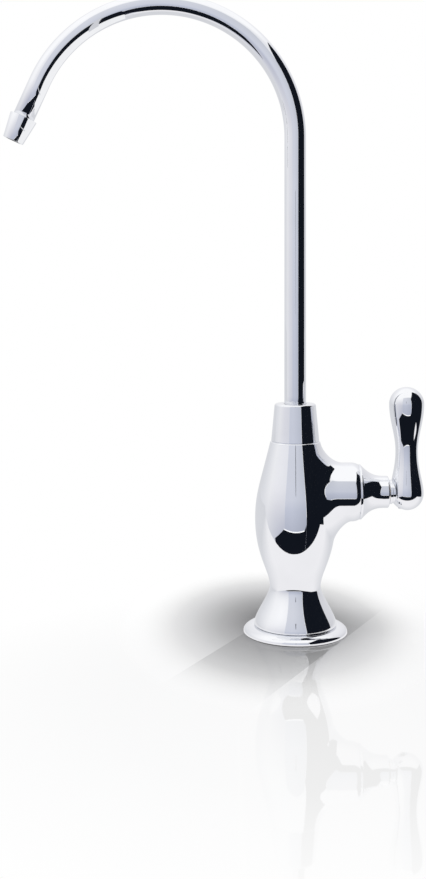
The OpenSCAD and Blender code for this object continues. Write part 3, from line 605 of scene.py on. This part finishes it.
def base_plate(s, finishes):
    """The dished plate: a sheet of even thickness with a hole for the shank."""
    sheet, lift, rim, edge = 0.8 * MM, 0.3 * MM, 0.5 * MM, 0.12 * MM
    top = s.foot_z
    flat_r = s.foot_r + 0.5 * MM

    def line(d):
        """The dish's line, at a depth inside the sheet."""
        a, b = Vector((s.plate_r - d, lift + rim)), Vector((flat_r, top - d))
        rise, run = (b[1] - a[1]) / 2, (a[0] - b[0]) / 2
        return [a] + bezier(a, a + Vector((0, rise)), b + Vector((run, 0)), b, 16)

    outer, inner = line(0), line(sheet)
    hole = 5.85 * MM
    profile = ([Vector((s.plate_r - sheet, lift + edge)), Vector((s.plate_r - sheet + edge, lift)),
                Vector((s.plate_r - edge, lift)), Vector((s.plate_r, lift + edge))]
               + outer + [Vector((hole, top)), Vector((hole, top - sheet))] + inner[::-1])
    bm = turned(profile, s.turns, closed=True)
    finish_piece(bm, "dished_plate", "faucet", "plate_chrome", finishes, ["base_plate"])


def collar(s, finishes):
    """The tapered nut over the body's neck."""
    low, high = span("collar", 2)
    foot_r = span("collar", 1)[1]
    bevel, edge = 0.3 * MM, 1 * MM
    wide, narrow, hole = 8.25 * MM, 7.3 * MM, 5.05 * MM
    step, shelf, soft = low + 9.4 * MM, high - 5 * MM, 0.2 * MM
    profile = ([Vector((foot_r - bevel, low)), Vector((foot_r, low + bevel))]
               + arc((s.collar_top_r - edge, high - edge), edge, edge, 0, 90, 10)
               + [Vector((hole + soft, high)), Vector((hole, high - soft)), Vector((hole, shelf)),
                  Vector((narrow, shelf)), Vector((narrow, step)), Vector((wide, step)), Vector((wide, low))])
    bm = turned(profile, s.turns, closed=True)
    finish_piece(bm, "tapered_collar", "faucet", "collar_chrome", finishes, ["collar"])


def bonnet(s, finishes):
    """The bell over the valve's neck, with a rounded lip and an open back."""
    low, high = span("bonnet", 0)
    big, small = span("bonnet", 1)[1], 6.9 * MM
    lip = Vector((big - 0.35 * MM, 1.2 * MM))
    waist = Vector((small, (high - low) - 2.2 * MM))
    lip_lean, lip_handle, waist_handle = math.radians(45), 3.4 * MM, 5 * MM
    end = high - low
    bevel, soft = 0.2 * MM, 0.6 * MM
    hole_r, chamber_r, skirt_r = 4.4 * MM, 5.95 * MM, 8.9 * MM
    roof, skirt = end - 2.4 * MM, 1.7 * MM
    profile = ([Vector((big - bevel, 0)), Vector((big, bevel)), Vector((big, 0.75 * MM)),
                Vector((big - 0.1 * MM, 1 * MM)), lip]
               + bezier(lip, lip + lip_handle * Vector((-math.cos(lip_lean), math.sin(lip_lean))),
                        waist - Vector((0, waist_handle)), waist, 28)
               + arc((small - soft, end - soft), soft, soft, 0, 90, 5)
               + [Vector((hole_r, end)), Vector((hole_r, roof)), Vector((chamber_r, roof)),
                  Vector((chamber_r, skirt)), Vector((skirt_r, skirt)), Vector((skirt_r, 0))])
    bm = turned(profile, s.turns, closed=True)
    bmesh.ops.transform(bm, matrix=Matrix.Translation((low, 0, VALVE_Z)) @ ALONG_X, verts=bm.verts)
    finish_piece(bm, "bell_bonnet", "faucet", "bonnet_chrome", finishes, ["bonnet"])


def lever(s, finishes):
    """The upright lever with its root ring, the stem's bore and the set screw's hole."""
    bulb, neck, grip = 7.35 * MM, 4.85 * MM, 7.6 * MM
    drop, rise, grip_z = 0.5 * MM, 17.8 * MM, 38.5 * MM
    bulb_handle, neck_handle_low, neck_handle_high, grip_handle = 4.7 * MM, 8 * MM, 7.4 * MM, 7.8 * MM
    low, top = VALVE_Z - span("lever", 2)[0], span("lever", 2)[1] - VALVE_Z
    a, b, c = Vector((bulb, -drop)), Vector((neck, rise)), Vector((grip, grip_z))
    profile = (arc((0, -drop), bulb, low - drop, -90, 0, 24)
               + bezier(a, a + Vector((0, bulb_handle)), b - Vector((0, neck_handle_low)), b, 36)
               + bezier(b, b + Vector((0, neck_handle_high)), c - Vector((0, grip_handle)), c, 36)
               + arc((0, grip_z), grip, top - grip_z, 0, 90, 24)[1:])
    bm = turned(profile, s.turns)
    bmesh.ops.transform(bm, matrix=Matrix.Translation((s.lever_x, 0, VALVE_Z)), verts=bm.verts)
    piece = finish_piece(bm, "dumbbell_lever", "handle", "lever_chrome", finishes, ["lever"])

    face = span("lever", 0)[0]
    ring, root, depth, soft, nick = 5.25 * MM, 4.9 * MM, 1.3 * MM, 0.2 * MM, 0.05 * MM
    hub = turned([Vector((0, 0)), Vector((ring - soft, 0)), Vector((ring, soft)), Vector((ring, depth - soft)),
                  Vector((ring - soft, depth)), Vector((root, depth + nick)), Vector((root, s.lever_x - face)),
                  Vector((0, s.lever_x - face))], 96)
    at_face = Matrix.Translation((face, 0, VALVE_Z)) @ ALONG_X
    bmesh.ops.transform(hub, matrix=at_face, verts=hub.verts)
    combine(piece, "hub", hub, "UNION")

    over = 1 * MM
    underside = Matrix.Translation((s.lever_x - 1.8 * MM, 0, span("lever", 2)[0]))
    for hole_r, hole_depth, place in ((4.05 * MM, 9.5 * MM, at_face), (2.05 * MM, 5.6 * MM, underside)):
        tool = turned([Vector((0, -over)), Vector((hole_r, -over)), Vector((hole_r, hole_depth)),
                       Vector((0, hole_depth))], 48)
        bmesh.ops.transform(tool, matrix=place, verts=tool.verts)
        combine(piece, "tool", tool, "DIFFERENCE")
    soften(piece.data, 32)


def spout(s, finishes):
    """The bent tube, swept from one circle, and the tapered tip on its end."""
    bend_z = span("spout_tube", 2)[1] - s.tube_r - s.bend_r
    low = span("spout_tube", 2)[0]
    centre = Vector((-s.bend_r, 0, bend_z))
    wall = 0.8 * MM
    seat = 6.5 * MM
    bm = bmesh.new()
    circle = bmesh.ops.create_circle(bm, segments=80, radius=s.tube_r - wall / 2)
    bmesh.ops.translate(bm, vec=(0, 0, low), verts=circle["verts"])
    loop = list({e for v in circle["verts"] for e in v.link_edges})
    for z in (BODY_TOP + 20 * MM, bend_z):
        out = bmesh.ops.extrude_edge_only(bm, edges=loop)
        loop = [g for g in out["geom"] if isinstance(g, bmesh.types.BMEdge)]
        for v in {v for e in loop for v in e.verts}:
            v.co.z = z
    out = bmesh.ops.spin(bm, geom=loop, cent=centre, axis=(0, -1, 0), angle=s.bend_angle, steps=140,
                         use_merge=False, use_duplicate=False)
    loop = [g for g in out["geom_last"] if isinstance(g, bmesh.types.BMEdge)]
    down = Vector((-math.sin(s.bend_angle), 0, math.cos(s.bend_angle)))
    out = bmesh.ops.extrude_edge_only(bm, edges=loop)
    verts = [g for g in out["geom"] if isinstance(g, bmesh.types.BMVert)]
    bmesh.ops.translate(bm, vec=down * (s.tail - s.tip_len + seat), verts=verts)
    bmesh.ops.recalc_face_normals(bm, faces=bm.faces)
    piece = finish_piece(bm, "gooseneck_tube", "spout", "spout_chrome", finishes, ["spout_tube"])
    thick = piece.modifiers.new("wall", "SOLIDIFY")
    thick.thickness = wall
    thick.offset = 0
    thick.use_even_offset = True

    tip_r, end_r, bore, soft, nick = 6.15 * MM, 4.7 * MM, 3.3 * MM, 0.3 * MM, 0.08 * MM
    seat_r = s.tube_r + 0.05 * MM
    profile = [Vector((seat_r, 0)), Vector((tip_r - soft, 0)), Vector((tip_r - nick, nick)), Vector((tip_r, soft)),
               Vector((end_r, s.tip_len - soft)), Vector((end_r - nick, s.tip_len - nick)),
               Vector((end_r - soft, s.tip_len)), Vector((bore, s.tip_len)), Vector((bore, seat)),
               Vector((seat_r, seat))]
    bm = turned(profile, s.turns, closed=True)
    end = centre + s.bend_r * Vector((math.cos(s.bend_angle), 0, math.sin(s.bend_angle)))
    place = Matrix.Translation(end + down * (s.tail - s.tip_len)) @ Matrix.Rotation(-s.bend_angle, 4, "Y")
    bmesh.ops.transform(bm, matrix=place, verts=bm.verts)
    finish_piece(bm, "tapered_tip", "spout", "spout_chrome", finishes, ["spout_tip"])


def threaded_shank(s, finishes):
    """The shank with a thread swept as one helix, bevelled ends and a bore."""
    low, high = span("threaded_shank", 2)
    crest = span("threaded_shank", 1)[1]
    depth = 0.55 * MM
    root = crest - depth
    bore, bevel = 3.2 * MM, 0.3 * MM
    pitch, steps = s.thread_pitch, 40
    flat = pitch / 8
    bm = bmesh.new()
    start = low - 2 * pitch
    profile = [(root, 0), (crest, pitch / 2 - flat), (crest, pitch / 2 + flat), (root, pitch)]
    verts = [bm.verts.new((r, 0, start + z)) for r, z in profile]
    edges = [bm.edges.new(pair) for pair in zip(verts, verts[1:])]
    count = math.ceil((high - start) / pitch) + 1
    bmesh.ops.spin(bm, geom=verts + edges, cent=(0, 0, 0), axis=(0, 0, 1), dvec=(0, 0, pitch / steps),
                   angle=2 * math.pi * count, steps=steps * count, use_merge=False, use_duplicate=False)
    bmesh.ops.remove_doubles(bm, verts=bm.verts, dist=1e-6)
    for z, side in ((low + bevel, -1), (high - bevel, 1)):
        loop = trim(bm, (0, 0, z), (0, 0, side))
        for r in (root - 0.05 * MM, bore):
            loop = extrude_loop(bm, loop, Vector((0, 0, 0)), Vector((0, 0, 1)), r, z + side * bevel)
        if side < 0:
            first = loop
    bmesh.ops.bridge_loops(bm, edges=first + loop)
    finish_piece(bm, "cut_thread_shank", "faucet", "plain_brass", finishes, ["threaded_shank"], sharp=25)


# Studio


EYE_Z = 0.06
WHITE = (1, 1, 1, 1)


def toward(azimuth, elevation, plane):
    """A corner on the upright plane y = plane, in a direction from the faucet, with azimuth 0 towards the user."""
    a, e = math.radians(azimuth), math.radians(elevation)
    return Vector((-plane * math.tan(a), plane, EYE_Z - plane / math.cos(a) * math.tan(e)))


def stage_plane(name, corners, material, **seen):
    """A flat card from its corners, set to be seen or not by each kind of ray."""
    bm = bmesh.new()
    bm.faces.new([bm.verts.new(c) for c in corners])
    card = linked_object(name, bm)
    card.data.materials.append(material)
    for ray, shown in seen.items():
        setattr(card, "visible_" + ray, shown)


def mirrored_card(name, corners, material):
    """A card that only the chrome mirrors."""
    stage_plane(name, corners, material, camera=False, diffuse=False, shadow=False, transmission=False,
                volume_scatter=False)


def glow(nt, tone, strength=1.0):
    """A surface that gives off a colour."""
    return add(nt, "ShaderNodeEmission", {"Color": tone, "Strength": strength})


def one_sided(nt, shader):
    """Shows a shader on the side that faces the faucet and nothing on the back."""
    clear = add(nt, "ShaderNodeBsdfTransparent")
    facing = add(nt, "ShaderNodeNewGeometry")
    finish_surface(nt, mixed(nt, facing.outputs["Backfacing"], shader, clear))


def card_material(name, tone):
    """Plain card of one tone, which gives the chrome an even patch with a clean edge."""
    mat, nt = new_material(name)
    one_sided(nt, glow(nt, (*tone, 1)))
    return mat


def panel_material():
    """Pale blue-grey reflector panel, darker towards its lower edge and its right end."""
    mat, nt = new_material("pale_reflector_panel")
    place = add(nt, "ShaderNodeTexCoord")
    part = add(nt, "ShaderNodeSeparateXYZ", {"Vector": place.outputs["Object"]})
    height = grey_ramp(nt, mapped(nt, part.outputs["Z"], -0.2, 0.9),
                       ((0, "#adb1bf"), (0.25, "#bcc0cd"), (0.36, "#c8cbd5"), (1, "#d2d4da")))
    right = mapped(nt, part.outputs["X"], -0.15, 0.36)
    tone = add(nt, "ShaderNodeMixRGB", {"Fac": right, "Color1": height, "Color2": (0.84, 0.85, 0.86, 1)},
               blend_type="MULTIPLY")
    one_sided(nt, glow(nt, tone.outputs["Color"], 1.2))
    return mat


def floor_material(c):
    """Polished white acrylic: white in the distance, a painted soft shade round the foot under its real shadow, and a
    weak mirror that fades.
    """
    # where the painted shadow oval and the painted dark strip lie, and how strong the painted strip is
    painted_shade_centre, painted_shade_radii = (-0.007, 0.012), (0.065, 0.105)
    painted_strip_across, painted_strip_middle, painted_strip_half, painted_strip_share = (0.894, -0.447, 0), 0.002, 0.021, 0.3
    mirror_centre = (0.01, -0.09, 0)
    mat, nt = new_material("polished_white_acrylic")
    path = add(nt, "ShaderNodeLightPath")
    place = add(nt, "ShaderNodeTexCoord").outputs["Object"]
    place_y = add(nt, "ShaderNodeSeparateXYZ", {"Vector": place}).outputs["Y"]

    # the painted shade: an oval of painted shadow round the foot, with a darker painted strip across it in front; the
    # lamp's and the world's real shadow falls on it too
    oval = add(nt, "ShaderNodeMapping", {
        "Vector": place, "Location": [-p / r for p, r in zip(painted_shade_centre, painted_shade_radii)] + [0],
        "Scale": [1 / r for r in painted_shade_radii] + [1]}, vector_type="POINT")
    away = vector_value(nt, "LENGTH", oval.outputs["Vector"])
    painted_shade_tone = grey_ramp(nt, mapped(nt, away, 0.0, 2.0), (
        (0.1, "#808081"), (0.2, "#a9a9aa"), (0.3, "#d0d0d1"), (0.38, "#e5e5e5"), (0.46, "#f7f7f7"), (0.52, "#ffffff")))
    off_painted_strip = math_node(nt, "SUBTRACT", vector_value(nt, "DOT_PRODUCT", place, painted_strip_across), painted_strip_middle)
    in_painted_strip = math_node(nt, "LESS_THAN", math_node(nt, "ABSOLUTE", off_painted_strip), painted_strip_half)
    near = mapped(nt, away, 1.15, 0.55)
    in_front = mapped(nt, place_y, 0.04, 0.0)
    share = math_node(nt, "MULTIPLY", math_node(nt, "MULTIPLY", in_painted_strip, near),
                      math_node(nt, "MULTIPLY", in_front, painted_strip_share))
    # a near-black colour mixed in over the strip: painted dark shade
    tone = add(nt, "ShaderNodeMixRGB", {"Fac": share, "Color1": painted_shade_tone, "Color2": (0.1, 0.1, 0.1, 1)})
    # the diffuse floor takes the painted shade as its colour, and the real shadow falls on top
    ground = add(nt, "ShaderNodeBsdfDiffuse", {"Color": tone.outputs["Color"]})
    surface = mixed(nt, mapped(nt, away, 0.7, 1.1), ground, glow(nt, WHITE))

    # the mirror: weak, and only round the place before the foot
    mirror = add(nt, "ShaderNodeBsdfGlossy", Roughness=0.02)
    fresnel = add(nt, "ShaderNodeFresnel", IOR=1.5)
    distance = vector_value(nt, "DISTANCE", place, mirror_centre)
    fade = math_node(nt, "MULTIPLY", mapped(nt, place_y, 0.14, -0.02), mapped(nt, distance, 0.17, 0.08))
    camera_view = mixed(nt, math_node(nt, "MULTIPLY", fresnel.outputs["Fac"], fade), surface, mirror)

    # what the chrome sees of the floor: a painted glow in place of the lit floor, a painted reflection that is white
    # in front and pale grey behind
    painted_floor_glow = grey_ramp(nt, mapped(nt, place_y, -0.04, 0.06), ((0.3, "#fcfbfc"), (0.6, "#eeeef0"), (1, "#e0e1e4")))
    plain = add(nt, "ShaderNodeBsdfDiffuse", {"Color": (*c.floor, 1)})
    unseen = mixed(nt, path.outputs["Is Glossy Ray"], plain, glow(nt, painted_floor_glow))
    finish_surface(nt, mixed(nt, path.outputs["Is Camera Ray"], unseen, camera_view))
    return mat


def world_light():
    """White world for the camera; the chrome sees a pale studio in it, greyer low down and towards the right."""
    world = bpy.data.worlds.new("white_studio")
    bpy.context.scene.world = world
    world.use_nodes = True
    nt = world.node_tree
    nt.nodes.clear()
    path = add(nt, "ShaderNodeLightPath")
    place = add(nt, "ShaderNodeTexCoord")
    x, y, z = add(nt, "ShaderNodeSeparateXYZ", {"Vector": place.outputs["Generated"]}).outputs
    azimuth = math_node(nt, "ARCTAN2", x, math_node(nt, "MULTIPLY", y, -1.0))
    turn = mapped(nt, azimuth, -math.pi, math.pi)
    rise = math_node(nt, "ARCSINE", z)

    def band(*stops):
        """Tones round the horizon, by azimuth in degrees from the user's side."""
        return grey_ramp(nt, turn, [(degrees / 360 + 0.5, code) for degrees, code in stops])

    def lifted(low_degrees, high_degrees, low, high):
        """A blend from one tone to another between two elevations."""
        share = mapped(nt, rise, math.radians(low_degrees), math.radians(high_degrees))
        return add(nt, "ShaderNodeMixRGB", {"Fac": share, "Color1": low, "Color2": high}).outputs["Color"]

    def background(tone, strength):
        return add(nt, "ShaderNodeBackground", {"Color": tone, "Strength": strength})

    ring = band((-178, "#e6e6e8"), (-150, "#d8d9dc"), (-118, "#dedfe2"), (-90, "#e8e8ea"), (-60, "#dcdce2"),
                (-33, "#d6d7de"), (24, "#d2d4da"), (100, "#c9cacd"), (130, "#d2d2d6"), (178, "#e6e6e8"))
    crown = band((-178, "#f4f4f6"), (-150, "#eeeef0"), (-90, "#ffffff"), (-60, "#ffffff"), (-33, "#f6f6f8"),
                 (0, "#eeeff2"), (24, "#eaebee"), (100, "#e0e0e4"), (178, "#f4f4f6"))
    skirt = band((-178, "#d8d8da"), (-118, "#dcdde0"), (-90, "#d8d9de"), (-60, "#c8cad4"), (-33, "#b8bbc9"),
                 (24, "#b4b7c4"), (100, "#bfc0c4"), (178, "#d8d8da"))
    tone = lifted(40, 54, lifted(2, 38, lifted(-18, 2, skirt, ring), crown), WHITE)
    lit = mixed(nt, path.outputs["Is Glossy Ray"], background(WHITE, 0.9), background(tone, 1.1))
    seen = mixed(nt, path.outputs["Is Camera Ray"], lit, background(WHITE, 1.0))
    add(nt, "ShaderNodeOutputWorld", {"Surface": seen.outputs[0]})


def floor_planes(c):
    """The floor, split along the line up to which the chrome sees it."""
    half = 3.0
    edge = [(-half, 0.665, 0), (-0.113, -0.048, 0), (half, -0.447, 0)]
    floor = floor_material(c)
    stage_plane("floor_table", edge + [(half, half, 0), (-half, half, 0)], floor)
    stage_plane("floor_apron", [(-half, -half, 0), (half, -half, 0)] + edge[::-1], floor, glossy=False)


def cards(c):
    """The cards that give the chrome its dark and pale shapes."""
    night = card_material("matt_black_card", list(c.night))
    edge_white = card_material("white_card_edge", (1.25, 1.25, 1.25))

    # in front: black below and a pale panel above, which the vase, the foot and the boss mirror
    plane, deep, panel_top = -0.7, -3.5, 0.92
    far_left, left, right, far_right = (toward(azimuth, elevation, plane) for azimuth, elevation in (
        (-66, -22), (-36, -15), (22, -16.5), (28, -11)))
    mirrored_card("front_black_card", [far_left, left, right, far_right, (far_right[0], plane, deep),
                                       (far_left[0], plane, deep)], night)
    panel_x = toward(-33, 0, plane)[0]
    mirrored_card("front_pale_panel", [(panel_x, plane, left[2]), (panel_x, plane, panel_top),
                                       (far_right[0], plane, panel_top), far_right, right], panel_material())

    # at the right: black, for the dark line on the spout and the dark flank of the body, with a white edge
    side_x = 0.25
    mirrored_card("side_black_card", [(side_x, y, z) for y, z in (
        (-0.47, -1.2), (-0.47, 0.5), (0.075, 0.555), (0.075, 0))], night)
    mirrored_card("side_card_edge", [(side_x, y, z) for y, z in (
        (-0.485, 0), (-0.485, 0.5), (-0.47, 0.5), (-0.47, 0))], edge_white)
    before, edge_height = 0.002, 0.014
    mirrored_card("front_card_edge", [p + Vector((0, before, rise)) for p, rise in (
        (left, edge_height), (right, edge_height), (right, 0), (left, 0))], edge_white)

    # lying over the front: pale, for the light underside of the arch
    pale = card_material("pale_card", hex_to_linear("#d8d9dd"))
    mirrored_card("lying_card", [(x, y, 0.17) for x, y in (
        (-0.03, -0.72), (0.1, -0.72), (0.1, -0.03), (-0.03, -0.03))], pale)

    # close in front: a narrow dark slit in the vase's pale panel
    mirrored_card("front_slit", [(x, -0.3, z) for x, z in (
        (-0.0165, 0.215), (-0.0045, 0.215), (-0.0085, 0.131), (-0.0125, 0.131))], night)

    # under the arch: black in front and white behind, for the left half of the spout
    wing_x, wing_split, wing_low, wing_top = -0.022, -0.078, 0.09, 0.262
    mirrored_card("spout_black_card", [(wing_x, y, z) for y, z in (
        (-0.43, wing_low), (-0.2475, 0.25), (-0.2475, wing_top), (wing_split, wing_top),
        (wing_split, wing_low))], night)
    mirrored_card("spout_white_card", [(wing_x, y, z) for y, z in (
        (wing_split, wing_low), (wing_split, wing_top), (0.15, wing_top), (0.15, wing_low))],
        card_material("white_card", (1, 1, 1)))


def lamp():
    """One weak, wide lamp above the faucet, which the chrome doesn't mirror."""
    light = bpy.data.lights.new("soft_overhead", "AREA")
    light.shape = "DISK"
    light.size = 0.8
    light.energy = 3
    obj = bpy.data.objects.new("soft_overhead", light)
    obj.location = (-0.25, -0.2, 1.1)
    obj.rotation_euler = (Vector((0, 0, 0.1)) - obj.location).to_track_quat("-Z", "Y").to_euler()
    obj.visible_glossy = False
    bpy.context.scene.collection.objects.link(obj)


def camera():
    """The photo's view: level, close, and shifted downwards."""
    cam = bpy.data.cameras.new("camera")
    cam.sensor_width = 36
    cam.lens = 49.1
    cam.shift_y = -0.179
    obj = bpy.data.objects.new("camera", cam)
    obj.location = (-0.036, -0.525, 0.153)
    obj.rotation_euler = (math.radians(90), 0, 0)
    bpy.context.scene.collection.objects.link(obj)
    bpy.context.scene.camera = obj


def studio(c):
    """The floor, cards, world, lamp and camera."""
    floor_planes(c)
    cards(c)
    world_light()
    lamp()
    camera()
    bpy.context.scene.view_settings.view_transform = "Standard"


# Operators


FINISHES = {}


def shared_finishes():
    """The materials, made once and shared by all the pieces."""
    if not FINISHES:
        FINISHES.update(make_finishes())
    return FINISHES


class FAUCET_OT_body(bpy.types.Operator):
    """Casts the vase-shaped body with its valve boss"""
    bl_idname = "faucet.body"
    bl_label = "Cast body"

    def execute(self, context):
        cast_body(context.scene.faucet_sizes, shared_finishes())
        return {"FINISHED"}


class FAUCET_OT_base_plate(bpy.types.Operator):
    """Presses the dished base plate"""
    bl_idname = "faucet.base_plate"
    bl_label = "Base plate"

    def execute(self, context):
        base_plate(context.scene.faucet_sizes, shared_finishes())
        return {"FINISHED"}


class FAUCET_OT_collar(bpy.types.Operator):
    """Turns the tapered collar"""
    bl_idname = "faucet.collar"
    bl_label = "Collar"

    def execute(self, context):
        collar(context.scene.faucet_sizes, shared_finishes())
        return {"FINISHED"}


class FAUCET_OT_bonnet(bpy.types.Operator):
    """Turns the bell-shaped bonnet"""
    bl_idname = "faucet.bonnet"
    bl_label = "Bonnet"

    def execute(self, context):
        bonnet(context.scene.faucet_sizes, shared_finishes())
        return {"FINISHED"}


class FAUCET_OT_lever(bpy.types.Operator):
    """Casts the dumbbell lever with its root ring"""
    bl_idname = "faucet.lever"
    bl_label = "Lever"

    def execute(self, context):
        lever(context.scene.faucet_sizes, shared_finishes())
        return {"FINISHED"}


class FAUCET_OT_spout(bpy.types.Operator):
    """Bends the gooseneck tube and turns its tip"""
    bl_idname = "faucet.spout"
    bl_label = "Spout and tip"

    def execute(self, context):
        spout(context.scene.faucet_sizes, shared_finishes())
        return {"FINISHED"}


class FAUCET_OT_shank(bpy.types.Operator):
    """Cuts the thread on the shank"""
    bl_idname = "faucet.shank"
    bl_label = "Threaded shank"

    def execute(self, context):
        threaded_shank(context.scene.faucet_sizes, shared_finishes())
        return {"FINISHED"}


class FAUCET_OT_carried(bpy.types.Operator):
    """Gives each carried solid its finish"""
    bl_idname = "faucet.carried"
    bl_label = "Inner and deck parts"

    def execute(self, context):
        slots = {p["node"]: p["material_slot"] for p in frame["record"]["subparts"]}
        for node, obj in frame["nodes"].items():
            if not obj.material_slots:
                obj.data.materials.append(None)
            for place in obj.material_slots:
                place.material = shared_finishes()[slots[node]]
        return {"FINISHED"}


class FAUCET_OT_studio(bpy.types.Operator):
    """Sets the floor, cards, lights and camera"""
    bl_idname = "faucet.studio"
    bl_label = "Studio"

    def execute(self, context):
        studio(context.scene.faucet_colours)
        return {"FINISHED"}


PIECES = (FAUCET_OT_body, FAUCET_OT_base_plate, FAUCET_OT_collar, FAUCET_OT_bonnet, FAUCET_OT_lever,
          FAUCET_OT_spout, FAUCET_OT_shank, FAUCET_OT_carried, FAUCET_OT_studio)


class FAUCET_PT_panel(bpy.types.Panel):
    """Lists the faucet's sizes, colours and pieces"""
    bl_idname = "FAUCET_PT_panel"
    bl_label = "Faucet"
    bl_space_type = "VIEW_3D"
    bl_region_type = "UI"
    bl_category = "Faucet"

    def draw(self, context):
        for group in (context.scene.faucet_sizes, context.scene.faucet_colours):
            for key in group.__annotations__:
                self.layout.prop(group, key)
        for piece in PIECES:
            self.layout.operator(piece.bl_idname)


CLASSES = (FaucetSizes, FaucetColours) + PIECES + (FAUCET_PT_panel,)


def register():
    """Adds the classes and the scene's settings."""
    for cls in CLASSES:
        bpy.utils.register_class(cls)
    bpy.types.Scene.faucet_sizes = PointerProperty(type=FaucetSizes)
    bpy.types.Scene.faucet_colours = PointerProperty(type=FaucetColours)


def unregister():
    """Takes them away again."""
    del bpy.types.Scene.faucet_colours
    del bpy.types.Scene.faucet_sizes
    for cls in reversed(CLASSES):
        bpy.utils.unregister_class(cls)


def main():
    """Builds everything in order."""
    register()
    for piece in PIECES:
        group, name = piece.bl_idname.split(".")
        getattr(getattr(bpy.ops, group), name)()


if __name__ == "__main__":
    main()
